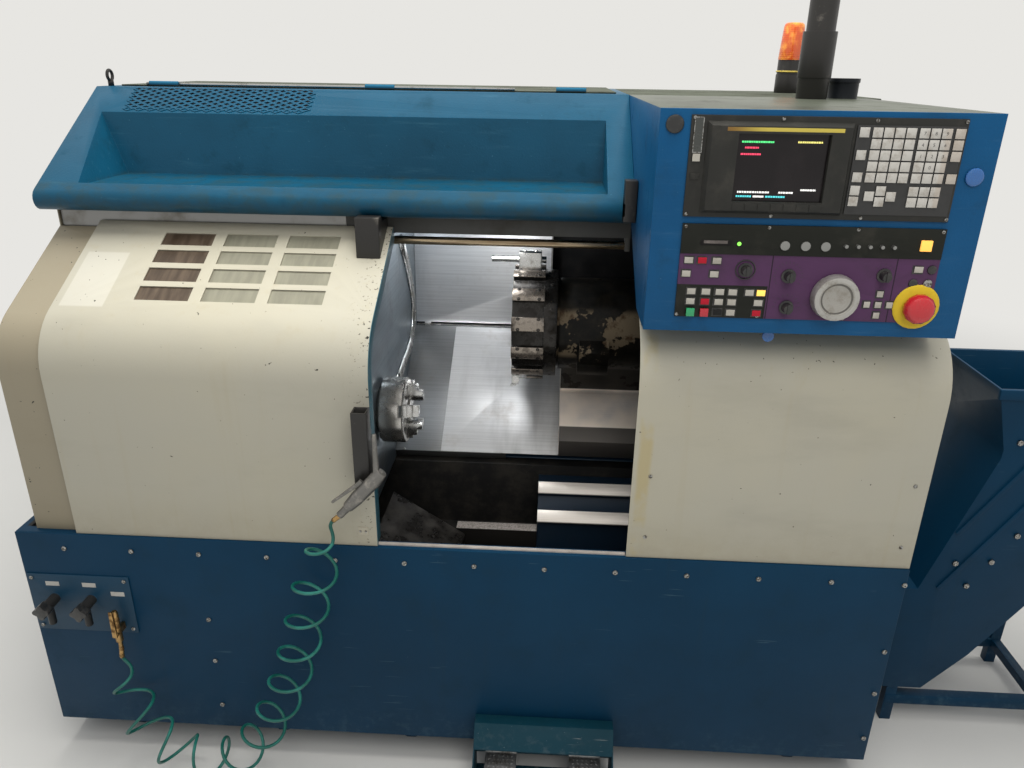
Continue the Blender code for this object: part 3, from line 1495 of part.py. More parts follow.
def gun_place():
    """The gun's axis crosses the handle's foot, with a flat of its body against the handle's front."""
    front = cover_front - handle_standoff - handle_depth
    flat = gun_radius * math.cos(math.pi / small_sides)
    return Vector((door_right - handle_overhang, front - flat - gap, handle_bottom + gun_radius))


def air_gun():
    """A turned body with a nozzle that bends upwards, a tail for the hose and a hook."""
    body = turned([(-gun_length / 2 - gun_tail_length, gun_tail_radius), (-gun_length / 2, gun_tail_radius),
                   (-gun_length / 2, gun_radius * 0.8), (-gun_length / 4, gun_radius),
                   (gun_length / 3, gun_radius), (gun_length / 2, gun_radius * 0.7)], (0.0, 0.0), "X", small_sides)
    lean = math.pi / 2 - gun_turn
    nozzle = turned([(0.0, gun_nozzle_radius * 1.3), (gun_nozzle_length / 2, gun_nozzle_radius),
                     (gun_nozzle_length, gun_nozzle_radius * 0.8)], (0.0, 0.0), "X", small_sides)
    nozzle = moved(nozzle, Matrix.Translation((gun_length / 3, 0, 0)) @ Matrix.Rotation(-lean, 4, "Y"))
    turn = Matrix.Translation(gun_place()) @ Matrix.Rotation(-gun_turn, 4, "Y")
    piece("air_gun", moved(joined(body, nozzle), turn), "gun_grey")
    pivot = gun_place() + Vector((-math.sin(gun_turn), 0, math.cos(gun_turn))) * (gun_radius * 1.2)
    seat = gun_radius * math.cos(math.pi / small_sides) + gap
    gun_flat = gun_radius * math.sin(math.pi / small_sides)
    toe = gun_length / 10
    lever = prism([(toe, seat), (0.0, seat), (-gun_lever_length, gun_radius * 1.9), (-gun_lever_length, gun_radius * 2.2),
                   (0.0, gun_radius * 1.5), (toe, gun_radius * 1.5)], "Y", -gun_flat, gun_flat)
    lever = moved(lever, Matrix.Translation(Vector(gun_place())) @ Matrix.Rotation(-gun_turn, 4, "Y"))
    piece("gun_trigger", lever, "gun_grey", pivot)


def smooth_route(points, steps):
    """Points on a smooth curve through the route's points."""
    line = [Vector(point) for point in points]
    ends = [line[0] * 2 - line[1]] + line + [line[-1] * 2 - line[-2]]
    out = []
    for i in range(1, len(ends) - 2):
        a, b, c, d = ends[i - 1:i + 3]
        for k in range(steps):
            t = k / steps
            out.append(0.5 * (2 * b + (c - a) * t + (2 * a - 5 * b + 4 * c - d) * t * t
                              + (3 * b - 3 * c + d - a) * t ** 3))
    return out + [line[-1]]


def air_hose():
    """The curly hose as one tapering tube of its outer size."""
    curve = bpy.data.curves.new("air_hose", "CURVE")
    curve.dimensions = "3D"
    curve.bevel_depth = 1.0 * hose_radius
    curve.bevel_resolution = 2
    curve.use_fill_caps = True
    tail = Vector((-math.cos(gun_turn), 0.0, -math.sin(gun_turn)))
    joint = gun_place() + tail * (gun_length / 2 + gun_tail_length + gap)
    start = Vector((valve_x, -valve_out, valve_bottom - gap))
    route = (start, start - Vector((0.0, 0.0, hose_lead)), *hose_route, joint + tail * hose_lead, joint)
    points = smooth_route(route, hose_steps)
    spline = curve.splines.new("POLY")
    spline.points.add(len(points) - 1)
    for i, (target, point) in enumerate(zip(spline.points, points)):
        share = min(i, len(points) - 1 - i) / hose_taper_points
        target.co = (*point, 1.0)
        target.radius = 1.0 + (hose_coil_radius / hose_radius - 1.0) * min(1.0, share) ** 2
    curve.materials.append(finish("hose_green", *FINISHES["hose_green"]))
    item = bpy.data.objects.new("air_hose", curve)
    bpy.context.scene.collection.objects.link(item)
    item.parent = bpy.data.objects["machine"]


def machine_origin():
    """The empty that carries every piece, placed so that the whole machine stands over the origin."""
    machine = bpy.data.objects.new("machine", None)
    bpy.context.scene.collection.objects.link(machine)
    machine.location = (-(base_length + conveyor_reach) / 2, -(cabinet_back - guard_reach) / 2, 0.0)


def main():
    clear_scene()
    machine_origin()
    for make in (base_frame, front_panel, left_cover, right_cover, door, door_window, door_handle, door_hanger,
                 header, guide_rod, hood, top_lid, right_roof, rear_cabinet, control_box, display_panel, screen,
                 keyboard, operator_panel, operator_controls, interlock_switch, beacon, extraction_pipe,
                 slant_bed, tail_bed, way_cover, back_guard, inner_left_wall, headstock, chuck, carriage,
                 turret_housing, turret_disc, boring_holder, turning_tool, tailstock, conveyor_trough,
                 pedal_guard, pedals, service_plate, air_valve, air_gun, air_hose):
        make()


main()
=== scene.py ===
"""A slant-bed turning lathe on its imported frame: sheet metal, castings, glass, panels and a hose."""

import json
import math
import random

import bmesh
import bpy
from mathutils import Matrix, Vector
from mathutils.bvhtree import BVHTree

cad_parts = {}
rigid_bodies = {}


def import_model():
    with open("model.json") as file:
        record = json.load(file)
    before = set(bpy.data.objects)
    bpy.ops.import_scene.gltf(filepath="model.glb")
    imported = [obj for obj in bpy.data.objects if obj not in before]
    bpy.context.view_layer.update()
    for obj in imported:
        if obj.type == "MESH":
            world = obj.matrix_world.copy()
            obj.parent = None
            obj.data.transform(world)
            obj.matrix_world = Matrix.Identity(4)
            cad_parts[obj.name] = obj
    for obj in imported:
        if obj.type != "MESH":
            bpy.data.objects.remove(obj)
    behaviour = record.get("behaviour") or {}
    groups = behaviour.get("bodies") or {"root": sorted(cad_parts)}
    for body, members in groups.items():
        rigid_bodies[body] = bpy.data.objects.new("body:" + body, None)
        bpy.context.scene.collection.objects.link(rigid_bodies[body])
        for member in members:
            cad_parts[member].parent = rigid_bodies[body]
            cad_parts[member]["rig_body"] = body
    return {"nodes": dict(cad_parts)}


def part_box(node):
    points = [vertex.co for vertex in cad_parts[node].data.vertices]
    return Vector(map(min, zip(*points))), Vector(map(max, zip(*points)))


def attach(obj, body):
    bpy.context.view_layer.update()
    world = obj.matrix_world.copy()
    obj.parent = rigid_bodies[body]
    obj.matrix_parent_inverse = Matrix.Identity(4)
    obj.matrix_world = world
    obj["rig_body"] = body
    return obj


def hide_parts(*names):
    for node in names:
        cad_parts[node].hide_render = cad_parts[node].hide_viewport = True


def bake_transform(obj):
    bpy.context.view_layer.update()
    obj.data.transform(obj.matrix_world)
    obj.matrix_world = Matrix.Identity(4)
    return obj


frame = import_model()
nodes = frame["nodes"]
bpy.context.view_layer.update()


# Camera, floor and light
# The camera stands in front of the open door at head height, looks down a little and leans to the left.
# The floor is pale and matt. One large soft lamp hangs over the machine as the workshop's strip lights do.

photo_width = 1024
photo_focus = 783.57
camera_place = Vector((-0.1465, -2.1840, 1.7153))
camera_yaw, camera_pitch, camera_roll = (math.radians(turn) for turn in (2.815, 22.171, 0.8405))
ahead = Vector((-math.sin(camera_yaw) * math.cos(camera_pitch),
                math.cos(camera_yaw) * math.cos(camera_pitch), -math.sin(camera_pitch)))
level_right = Vector((math.cos(camera_yaw), math.sin(camera_yaw), 0.0))
level_up = level_right.cross(ahead)
camera_right = math.cos(camera_roll) * level_right + math.sin(camera_roll) * level_up
camera_up = math.cos(camera_roll) * level_up - math.sin(camera_roll) * level_right
camera = bpy.data.objects.new("camera", bpy.data.cameras.new("camera"))
bpy.context.scene.collection.objects.link(camera)
camera.data.sensor_width = 36.0
camera.data.lens = photo_focus / photo_width * camera.data.sensor_width
turn = Matrix((camera_right, camera_up, -ahead)).transposed()
camera.matrix_world = Matrix.Translation(camera_place) @ turn.to_4x4()
bpy.context.scene.camera = camera
bpy.context.scene.view_settings.view_transform = "Standard"


class Level:
    """One output of a finish's nodes, which takes part in Python expressions as a number does."""

    def __init__(self, finish, socket):
        self.finish, self.socket = finish, socket

    def maths(self, operation, *others):
        return self.finish.node("ShaderNodeMath", {"operation": operation}, dict(enumerate(others)))

    def __add__(self, other):
        return self.maths("ADD", self, other)

    def __sub__(self, other):
        return self.maths("SUBTRACT", self, other)

    def __rsub__(self, other):
        return self.maths("SUBTRACT", other, self)

    def __mul__(self, other):
        return self.maths("MULTIPLY", self, other)

    def or_more(self, other):
        """The greater of two levels."""
        return self.maths("MAXIMUM", self, other)

    def sine(self):
        return self.maths("SINE", self)

    __radd__, __rmul__ = __add__, __mul__


class Finish:
    """A material made of nodes on the piece's own coordinates, in metres."""

    def __init__(self, name):
        self.material = bpy.data.materials.new(name)
        self.material.use_nodes = True
        self.material.node_tree.nodes.clear()
        self.place = self.node("ShaderNodeTexCoord", {}, {}, "Object")
        axes = self.node("ShaderNodeSeparateXYZ", {}, {"Vector": self.place}, "X")
        self.x, self.y, self.z = (Level(self, axes.socket.node.outputs[axis]) for axis in "XYZ")

    def node(self, kind, settings, values, output=0):
        """Adds a node. A ramp's stops come as (position, colour) pairs under the setting stops."""
        made = self.material.node_tree.nodes.new(kind)
        for key, value in settings.items():
            if key == "stops":
                elements = made.color_ramp.elements
                while len(elements) < len(value):
                    elements.new(1.0)
                for element, (position, colour) in zip(elements, value):
                    element.position, element.color = position, (*colour, 1.0)
            else:
                setattr(made, key, value)
        for key, value in values.items():
            if isinstance(value, Level):
                self.material.node_tree.links.new(value.socket, made.inputs[key])
            elif isinstance(value, tuple) and made.inputs[key].type == "RGBA" and len(value) == 3:
                made.inputs[key].default_value = (*value, 1.0)
            else:
                made.inputs[key].default_value = value
        return Level(self, made.outputs[output])

    def stretched(self, stretch):
        """The piece's coordinates, multiplied along each axis."""
        return self.node("ShaderNodeMapping", {}, {"Vector": self.place, "Scale": stretch})

    def noise(self, scale, detail=3.0, roughness=0.5, stretch=None):
        """A soft noise from 0 to 1. Scale counts its waves in a metre."""
        place = self.stretched(stretch) if stretch else self.place
        return self.node("ShaderNodeTexNoise", {}, {"Vector": place, "Scale": scale, "Detail": detail,
                                                    "Roughness": roughness})

    def fade(self, level, low, high):
        """0 where the level is at low, 1 where it is at high, and smooth between them."""
        return self.node("ShaderNodeMapRange", {"interpolation_type": "SMOOTHSTEP"},
                         {"Value": level, "From Min": low, "From Max": high})

    def patches(self, low, high, *noise):
        """A noise that is 0 where it is below low and 1 where it is above high."""
        return self.fade(self.noise(*noise), low, high)

    def within(self, level, low, high, soft=0.004):
        """1 between low and high."""
        return self.fade(level, low - soft, low) * (1 - self.fade(level, high, high + soft))

    def blend(self, mask, under, over):
        """The colour under, with the colour over laid on it where the mask is 1."""
        return self.node("ShaderNodeMix", {"data_type": "RGBA"}, {"Factor": mask, 6: under, 7: over}, 2)

    def from_line(self, **spot):
        """The distance from a line along the one axis that the spot leaves out."""
        flat = self.node("ShaderNodeCombineXYZ", {}, {axis: getattr(self, axis.lower()) for axis in spot})
        middle = tuple(spot.get(axis, 0.0) for axis in "XYZ")
        return self.node("ShaderNodeVectorMath", {"operation": "DISTANCE"}, {0: flat, 1: middle}, "Value")

    def bump(self, height, distance, strength=1.0):
        return self.node("ShaderNodeBump", {}, {"Height": height, "Distance": distance, "Strength": strength})

    def done(self, **values):
        """Ends the material in one Principled shader. Its sockets are named with low lines for spaces."""
        inputs = {key.replace("_", " "): value for key, value in values.items()}
        surface = self.node("ShaderNodeBsdfPrincipled", {}, inputs)
        out = self.material.node_tree.nodes.new("ShaderNodeOutputMaterial")
        self.material.node_tree.links.new(surface.socket, out.inputs["Surface"])
        return self.material


def mesh_piece(name, mesh, *materials):
    """A finished object at the origin, whose place is in its mesh."""
    for material in materials:
        mesh.materials.append(material)
    item = bpy.data.objects.new(name, mesh)
    bpy.context.scene.collection.objects.link(item)
    return item


pale_room = (0.80, 0.79, 0.76, 1.0)
floor_half = 14.0
floor_mesh = bpy.data.meshes.new("floor")
floor_mesh.from_pydata([(-floor_half, -floor_half, 0.0), (floor_half, -floor_half, 0.0),
                        (floor_half, floor_half, 0.0), (-floor_half, floor_half, 0.0)], [], [(0, 1, 2, 3)])
floor_paint = Finish("floor_paint")
floor_tone = floor_paint.blend(floor_paint.noise(1.7, 4.0), (0.60, 0.60, 0.58), (0.68, 0.68, 0.66))
floor_skin = floor_paint.done(Base_Color=floor_tone, Roughness=0.6)
far_away = floor_paint.node("ShaderNodeVectorMath", {"operation": "LENGTH"}, {0: floor_paint.place}, "Value")
tree = floor_skin.node_tree
shader_out = next(node for node in tree.nodes if node.type == "OUTPUT_MATERIAL")
painted = shader_out.inputs["Surface"].links[0].from_socket
pale_glow, glow_mix = tree.nodes.new("ShaderNodeEmission"), tree.nodes.new("ShaderNodeMixShader")
pale_glow.inputs["Color"].default_value = pale_room
tree.links.new(floor_paint.fade(far_away, 2.2, 5.0).socket, glow_mix.inputs[0])
tree.links.new(painted, glow_mix.inputs[1])
tree.links.new(pale_glow.outputs[0], glow_mix.inputs[2])
tree.links.new(glow_mix.outputs[0], shader_out.inputs["Surface"])
mesh_piece("floor", floor_mesh, floor_skin)

world = bpy.data.worlds.new("studio")
bpy.context.scene.world = world
world.use_nodes = True
sky = world.node_tree
sky.nodes.clear()
rays = sky.nodes.new("ShaderNodeLightPath")
seen, shown = sky.nodes.new("ShaderNodeMath"), sky.nodes.new("ShaderNodeMath")
seen.operation = shown.operation = "MAXIMUM"
sky.links.new(rays.outputs["Is Camera Ray"], shown.inputs[0])
sky.links.new(rays.outputs["Is Transmission Ray"], shown.inputs[1])
sky.links.new(shown.outputs[0], seen.inputs[0])
sky.links.new(rays.outputs["Is Glossy Ray"], seen.inputs[1])
soft_light, pale_wall = sky.nodes.new("ShaderNodeBackground"), sky.nodes.new("ShaderNodeBackground")
soft_light.inputs["Color"].default_value = (0.95, 0.97, 1.0, 1.0)
soft_light.inputs["Strength"].default_value = 0.36
pale_wall.inputs["Color"].default_value = pale_room
wall_or_light = sky.nodes.new("ShaderNodeMixShader")
sky.links.new(seen.outputs[0], wall_or_light.inputs[0])
sky.links.new(soft_light.outputs[0], wall_or_light.inputs[1])
sky.links.new(pale_wall.outputs[0], wall_or_light.inputs[2])
sky.links.new(wall_or_light.outputs[0], sky.nodes.new("ShaderNodeOutputWorld").inputs["Surface"])


def lamp(name, place, target, size, power, colour, seen_in_metal=False):
    """A square soft lamp that faces its target."""
    light = bpy.data.lights.new(name, "AREA")
    light.shape, light.size, light.energy, light.color = "SQUARE", size, power, colour
    item = bpy.data.objects.new(name, light)
    bpy.context.scene.collection.objects.link(item)
    item.location = place
    item.rotation_mode = "QUATERNION"
    item.rotation_quaternion = (Vector(target) - Vector(place)).to_track_quat("-Z", "Y")
    item.visible_camera = False
    item.visible_glossy = seen_in_metal


lamp("ceiling_lamp", (-0.4, 0.1, 4.3), (0.0, 0.0, 0.8), 3.0, 215.0, (1.0, 0.98, 0.94))
lamp("front_lamp", (0.5, -3.0, 3.9), (0.2, 0.0, 0.9), 2.4, 70.0, (1.0, 0.97, 0.93))
lamp("door_lamp", (-0.36, -0.16, 1.345), (-0.42, 0.22, 0.84), 0.18, 1.9, (0.96, 0.98, 1.0), True)


# Air hose
# A curly polyurethane hose, wound on a rod when it was made, so that it springs back into loops.
# It hangs between the valve's tail and the blow gun, and a crimped brass ferrule closes each end.

machine_corner = Vector((-1.410, -0.6475, 0.0))


def at(x, y, z):
    """A place measured from the base's left front corner on the floor."""
    return machine_corner + Vector((x, y, z))


hose_radius = 0.004
hose_loop_radius = 0.046
hose_turns = 13
hose_points_per_turn = 24
hose_taper = 0.14
valve_tail = at(0.226, -0.032, 0.3617)
gun_slope = math.radians(48.0)
gun_axis = Vector((math.cos(gun_slope), 0.0, math.sin(gun_slope)))
gun_middle = at(0.875, -0.066755, 0.856)
gun_tail = gun_middle - gun_axis * 0.0903
hose_lead = 0.020
hose_way = [valve_tail, valve_tail - Vector((0.0, 0.0, hose_lead)),
            *(at(*spot) for spot in (
            (0.228, -0.038, 0.300), (0.236, -0.052, 0.245), (0.262, -0.068, 0.180), (0.305, -0.076, 0.120),
            (0.365, -0.080, 0.074), (0.435, -0.082, 0.062), (0.505, -0.082, 0.080), (0.560, -0.080, 0.130),
            (0.605, -0.078, 0.200), (0.645, -0.076, 0.285), (0.680, -0.074, 0.380), (0.708, -0.072, 0.475),
            (0.730, -0.070, 0.560), (0.752, -0.068, 0.640), (0.774, -0.067, 0.710), (0.790, -0.067, 0.750))),
            gun_tail - gun_axis * hose_lead, gun_tail]


def smooth_line(points, steps):
    """A smooth line through the points, with a number of steps between each pair."""
    ends = [points[0] * 2 - points[1], *points, points[-1] * 2 - points[-2]]
    line = []
    for a, b, c, d in zip(ends, ends[1:], ends[2:], ends[3:]):
        for k in range(steps):
            t = k / steps
            line.append(0.5 * (2 * b + (c - a) * t + (2 * a - 5 * b + 4 * c - d) * t * t
                               + (3 * b - 3 * c + d - a) * t ** 3))
    return [*line, points[-1]]


def evenly(line, count):
    """That many points at equal steps along the line."""
    steps = [(b - a).length for a, b in zip(line, line[1:])]
    total, spots, i, walked = sum(steps), [], 0, 0.0
    for k in range(count):
        target = total * k / (count - 1)
        while i < len(steps) - 1 and walked + steps[i] < target:
            walked += steps[i]
            i += 1
        spots.append(line[i].lerp(line[i + 1], min(1.0, (target - walked) / steps[i])))
    return spots


def frames(line):
    """The direction and one side of the line at each of its points, carried along without twisting."""
    side = Vector((0.0, -1.0, 0.0))
    found = []
    for i in range(len(line)):
        along = (line[min(i + 1, len(line) - 1)] - line[max(i - 1, 0)]).normalized()
        side = (side - along * side.dot(along)).normalized()
        found.append((along, side))
    return found


def turns(count):
    """That many angles at equal steps round a circle."""
    return [math.tau * k / count for k in range(count)]


def loft(shape, rings, smooth=True):
    """Faces between each ring of corners and the next."""
    for low, high in zip(rings, rings[1:]):
        for k in range(len(low)):
            n = (k + 1) % len(low)
            shape.faces.new((low[k], low[n], high[n], high[k])).smooth = smooth


def closed_mesh(shape, name, outward=True):
    """A mesh of the finished shape, with its faces turned outwards if they aren't yet."""
    if outward:
        bmesh.ops.recalc_face_normals(shape, faces=shape.faces[:])
    mesh = bpy.data.meshes.new(name)
    shape.to_mesh(mesh)
    shape.free()
    return mesh


def settled(item, body="root"):
    """The piece, attached to the body that it rides on."""
    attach(item, body)
    return item


def tube(mesh_name, line, radius, sides):
    """A closed tube round a line, with flat ends. The radius is one number or one for each point."""
    shape = bmesh.new()
    radii = radius if isinstance(radius, list) else [radius] * len(line)
    rings = []
    for point, (along, side), r in zip(line, frames(line), radii):
        other = along.cross(side)
        rings.append([shape.verts.new(point + (side * math.cos(a) + other * math.sin(a)) * r)
                      for a in turns(sides)])
    loft(shape, rings)
    shape.faces.new(rings[0][::-1])
    shape.faces.new(rings[-1])
    return closed_mesh(shape, mesh_name)


middle_line = evenly(smooth_line(hose_way, 8), hose_turns * hose_points_per_turn + 1)
middle_length = sum((b - a).length for a, b in zip(middle_line, middle_line[1:]))
hose_line = []
for i, (point, (along, side)) in enumerate(zip(middle_line, frames(middle_line))):
    share = i / (len(middle_line) - 1)
    from_end = min(share, 1.0 - share) * middle_length
    reach = hose_loop_radius * min(1.0, from_end / hose_taper) ** 1.6
    angle = math.tau * hose_turns * share
    hose_line.append(point + (side * math.cos(angle) + along.cross(side) * math.sin(angle)) * reach)

hose_skin = Finish("hose_green")
hose_tone = hose_skin.blend(hose_skin.patches(0.45, 0.70, 22.0, 3.0),
                            (0.005, 0.095, 0.075), (0.018, 0.165, 0.135))
hose = mesh_piece("curly_hose", tube("curly_hose", hose_line, hose_radius, 10),
                  hose_skin.done(Base_Color=hose_tone, Roughness=0.28 + 0.2 * hose_skin.noise(60.0)))
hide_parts("air_hose")


def two_tone(name, edges, noise, clean, worn, rough, rougher, grain=None, share=1.0, **sockets):
    """A material that wears in patches. Its grain is a bump: its noise, its distance and its strength."""
    skin = Finish(name)
    patch = skin.patches(*edges, *noise)
    if grain:
        sockets["Normal"] = skin.bump(skin.noise(*grain[0]), *grain[1:])
    return skin.done(Base_Color=skin.blend(patch * share, clean, worn), Roughness=rough + rougher * patch,
                     **sockets)


worn_brass = two_tone("worn_brass", (0.42, 0.66), (70.0, 4.0), (0.46, 0.29, 0.12), (0.15, 0.085, 0.035),
                      0.30, 0.3, ((400.0,), 0.0002), Metallic=1.0)
for name, body, line in (("valve_ferrule", "root", hose_line[:9]),
                         ("gun_ferrule", "door", hose_line[:-7:-1])):
    spots = evenly(line, 9)
    ridges = [hose_radius * (1.55 if k % 2 else 1.35) for k in range(len(spots))]
    settled(mesh_piece(name, tube(name, spots, ridges, 18), worn_brass), body)
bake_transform(hose)


# Blue base
# A welded base of folded plate, painted dark blue, with a screwed front panel and a recessed skirt.
# The panel's pan-head screws stand in rows, and the paint is scuffed pale low down and at its edges.


def dressed(node, material, bevel=0.0012, segments=2, smooth=35.0):
    """Lays on a node its solid with small facets welded, curves smoothed and edges rounded."""
    shape = bmesh.new()
    shape.from_mesh(nodes[node].data)
    bmesh.ops.remove_doubles(shape, verts=shape.verts[:], dist=0.00002)
    bmesh.ops.dissolve_limit(shape, angle_limit=math.radians(0.4), verts=shape.verts[:], edges=shape.edges[:],
                             delimit=set())
    mesh = closed_mesh(shape, node + "_dressed", outward=False)
    mesh.materials.clear()
    item = mesh_piece(node + "_dressed", mesh, material)
    if bevel:
        rounding = item.modifiers.new("rounding", "BEVEL")
        rounding.width, rounding.segments, rounding.limit_method = bevel, segments, "ANGLE"
        rounding.angle_limit, rounding.harden_normals = math.radians(smooth), False
        rounding.use_clamp_overlap, rounding.loop_slide = True, False
        graph = bpy.context.evaluated_depsgraph_get()
        rounded = bpy.data.meshes.new_from_object(item.evaluated_get(graph))
        rounded.name = item.name
        item.modifiers.clear()
        item.data = rounded
    item.data.polygons.foreach_set("use_smooth", [True] * len(item.data.polygons))
    item.data.set_sharp_from_angle(angle=math.radians(smooth))
    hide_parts(node)
    settled(item, nodes[node]["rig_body"])


def paint(name, colour, pale, dark, scuff_z=None, wear=0.5, grain=520.0, gloss=0.42):
    """Machine paint with a fine hammered skin, cloudy dirt, small pale scuffs and thin scratches."""
    skin = Finish(name)
    cloud = skin.noise(2.3, 5.0, 0.6)
    dirt = skin.patches(0.50, 0.78, 9.0, 6.0, 0.7)
    speck = skin.patches(0.70, 0.76, 170.0, 3.0, 0.6)
    drips = skin.patches(0.56, 0.80, 1.0, 4.0, 0.6, (26.0, 26.0, 1.6))
    scratch = (skin.patches(0.695, 0.72, 1.0, 2.0, 0.5, (9.0, 9.0, 240.0))
               * skin.patches(0.52, 0.62, 5.0))
    tone = skin.blend(skin.fade(cloud, 0.30, 0.72), colour, tuple(c * 0.80 for c in colour))
    tone = skin.blend(dirt * 0.35, tone, dark)
    tone = skin.blend(drips * 0.30, tone, dark)
    chips = (speck * wear).or_more(scratch * wear)
    if scuff_z is not None:
        low = 1 - skin.fade(skin.z + 0.10 * cloud, scuff_z, scuff_z + 0.22)
        chips = chips.or_more(low * skin.patches(0.50, 0.66, 38.0, 5.0, 0.75) * 0.55)
    tone = skin.blend(chips, tone, pale)
    height = skin.noise(grain, 2.0, 0.6) + 0.6 * skin.noise(14.0, 2.0)
    return skin, tone, gloss + 0.18 * dirt + 0.20 * chips, skin.bump(height, 0.0004, 0.55)


skin, tone, rough, skin_bump = paint("base_blue_paint", (0.0030, 0.034, 0.076), (0.050, 0.100, 0.135),
                                     (0.010, 0.028, 0.042), 0.05, 0.5)
inside_pan = skin.within(skin.x, machine_corner.x + 0.015, machine_corner.x + 2.085, 0.0005) * skin.fade(
    skin.y, machine_corner.y + 0.0288, machine_corner.y + 0.0291) * skin.within(skin.z, 0.455, 0.6643, 0.0003)
inside_pan = inside_pan * (1 - skin.fade(skin.y, machine_corner.y + 0.4410, machine_corner.y + 0.4420))
under_ways = (skin.within(skin.x, machine_corner.x + 0.060, machine_corner.x + 2.040, 0.0005)
              * skin.within(skin.y, machine_corner.y + 0.4390, machine_corner.y + 1.1300, 0.0005)
              * skin.within(skin.z, 0.6625, 0.6645, 0.0003))
inside_pan = inside_pan.or_more(under_ways)
oil = skin.blend(skin.patches(0.40, 0.70, 12.0, 5.0, 0.7), (0.008, 0.008, 0.008), (0.022, 0.020, 0.017))
tone = skin.blend(inside_pan, tone, oil)
rubbed_rail = skin.fade(skin.z, 0.6646, 0.6650) * (1 - skin.fade(
    skin.y, machine_corner.y + 0.028, machine_corner.y + 0.030)) * (1 - skin.fade(
        skin.x, machine_corner.x + 2.0990, machine_corner.x + 2.1000))
tone = skin.blend(rubbed_rail, tone, skin.blend(skin.noise(40.0, 4.0, 0.7), (0.42, 0.39, 0.36),
                                                (0.18, 0.16, 0.14)))
base_blue = skin.done(Base_Color=tone, Roughness=rough, Normal=skin_bump, Specular_IOR_Level=0.12)
for node, bevel in (("base_frame", 0.0020), ("front_panel", 0.0025),
                    ("rear_cabinet", 0.0030), ("chip_conveyor", 0.0015)):
    dressed(node, base_blue, bevel)

zinc = two_tone("zinc_screws", (0.40, 0.65), (300.0, 3.0), (0.40, 0.40, 0.39), (0.10, 0.085, 0.065), 0.32,
                0.3, Metallic=1.0)


def screw_head(radius, height, slot):
    """A pan head with a round recess, its seat at the origin and its crown towards -Y."""
    shape = bmesh.new()
    rings = [[shape.verts.new((math.cos(a) * radius * share, -height * out, math.sin(a) * radius * share))
              for a in turns(16)]
             for share, out in ((1.0, 0.0), (1.0, 0.45), (0.86, 0.80), (0.55, 0.98), (0.25, 1.0),
                                (0.25, 1.0 - slot))]
    loft(shape, rings, False)
    shape.faces.new(rings[-1])
    shape.faces.new(rings[0][::-1])
    return closed_mesh(shape, "screw_head")


class Tree:
    """A geometry node tree with named inputs, one node at a time."""

    def __init__(self, name):
        self.tree = bpy.data.node_groups.new(name, "GeometryNodeTree")
        self.tree.interface.new_socket("Geometry", in_out="INPUT", socket_type="NodeSocketGeometry")
        self.tree.interface.new_socket("Geometry", in_out="OUTPUT", socket_type="NodeSocketGeometry")
        self.start, self.end = self.tree.nodes.new("NodeGroupInput"), self.tree.nodes.new("NodeGroupOutput")
        self.keys = {}

    def entry(self, name, kind):
        made = self.tree.interface.new_socket(name, in_out="INPUT", socket_type="NodeSocket" + kind)
        self.keys[name] = made.identifier
        return self.start.outputs[made.identifier]

    def add(self, kind, output, settings=None, **values):
        made = self.tree.nodes.new(kind if kind.startswith("FunctionNode") else "GeometryNode" + kind)
        for key, value in (settings or {}).items():
            setattr(made, key, value)
        for key, value in values.items():
            place = made.inputs[int(key[1:])] if key[0] == "_" else made.inputs[key.replace("_", " ")]
            if isinstance(value, bpy.types.NodeSocket):
                self.tree.links.new(value, place)
            else:
                place.default_value = value
        return made.outputs[output]

    def finish(self, socket):
        self.tree.links.new(socket, self.end.inputs[0])

    def run(self, name, holder_mesh, material, values, body, slot):
        """Runs the tree on a holder mesh and keeps what comes out as one plain piece."""
        holder = mesh_piece(name, holder_mesh)
        modifier = holder.modifiers.new("tree", "NODES")
        modifier.node_group = self.tree
        for key, value in values.items():
            modifier[self.keys[key]] = value
        graph = bpy.context.evaluated_depsgraph_get()
        made = bpy.data.meshes.new_from_object(holder.evaluated_get(graph))
        made.name = name
        holder.modifiers.clear()
        holder.data = made
        if not made.materials:
            made.materials.append(material)
        settled(holder, body)


copies = Tree("copies_on_points")
copy_of = copies.entry("Part", "Object")
copy_material = copies.entry("Finish", "Material")
copy_turn = copies.entry("Turn", "Rotation")
part_shape = copies.add("ObjectInfo", "Geometry", Object=copy_of)
spread = copies.add("InstanceOnPoints", "Instances", Points=copies.start.outputs[0], Instance=part_shape,
                    Rotation=copy_turn)
whole = copies.add("RealizeInstances", "Geometry", Geometry=spread)
copies.finish(copies.add("SetMaterial", "Geometry", Geometry=whole, Material=copy_material))


def spread_on(name, part_mesh, spots, material=zinc, body="root", slot="bright_steel", turn=(0.0, 0.0, 0.0)):
    """One piece made of a copy of the part at each spot, all turned the same way."""
    part = bpy.data.objects.new(name + "_pattern", part_mesh)
    points = bpy.data.meshes.new(name)
    points.from_pydata([tuple(spot) for spot in spots], [], [])
    copies.run(name, points, material, {"Part": part, "Finish": material, "Turn": turn}, body, slot)
    bpy.data.objects.remove(part)


panel_screw = screw_head(0.0062, 0.0040, 0.55)
panel_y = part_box("front_panel")[0].y
panel_spots = [at(0.115 + i * 0.165, 0.0, 0.623) for i in range(13) if not 0.20 < 0.115 + i * 0.165 < 0.22]
panel_spots += [at(x, 0.0, z) for x in (0.444, 2.086) for z in (0.431, 0.303, 0.159)]
for spot in panel_spots:
    spot.y = panel_y
spread_on("panel_screws", panel_screw, panel_spots)


# Door and front covers
# Bent steel sheet, painted off-white. The door slides left and right; the covers beside it are screwed on.
# Coolant has yellowed the paint, hands have greyed it, and it is chipped to the dark primer by the opening.

cream = (0.415, 0.398, 0.330)
primer = (0.030, 0.028, 0.024)


def across(x):
    """A place's x, measured from the base's left end."""
    return at(x, 0, 0).x


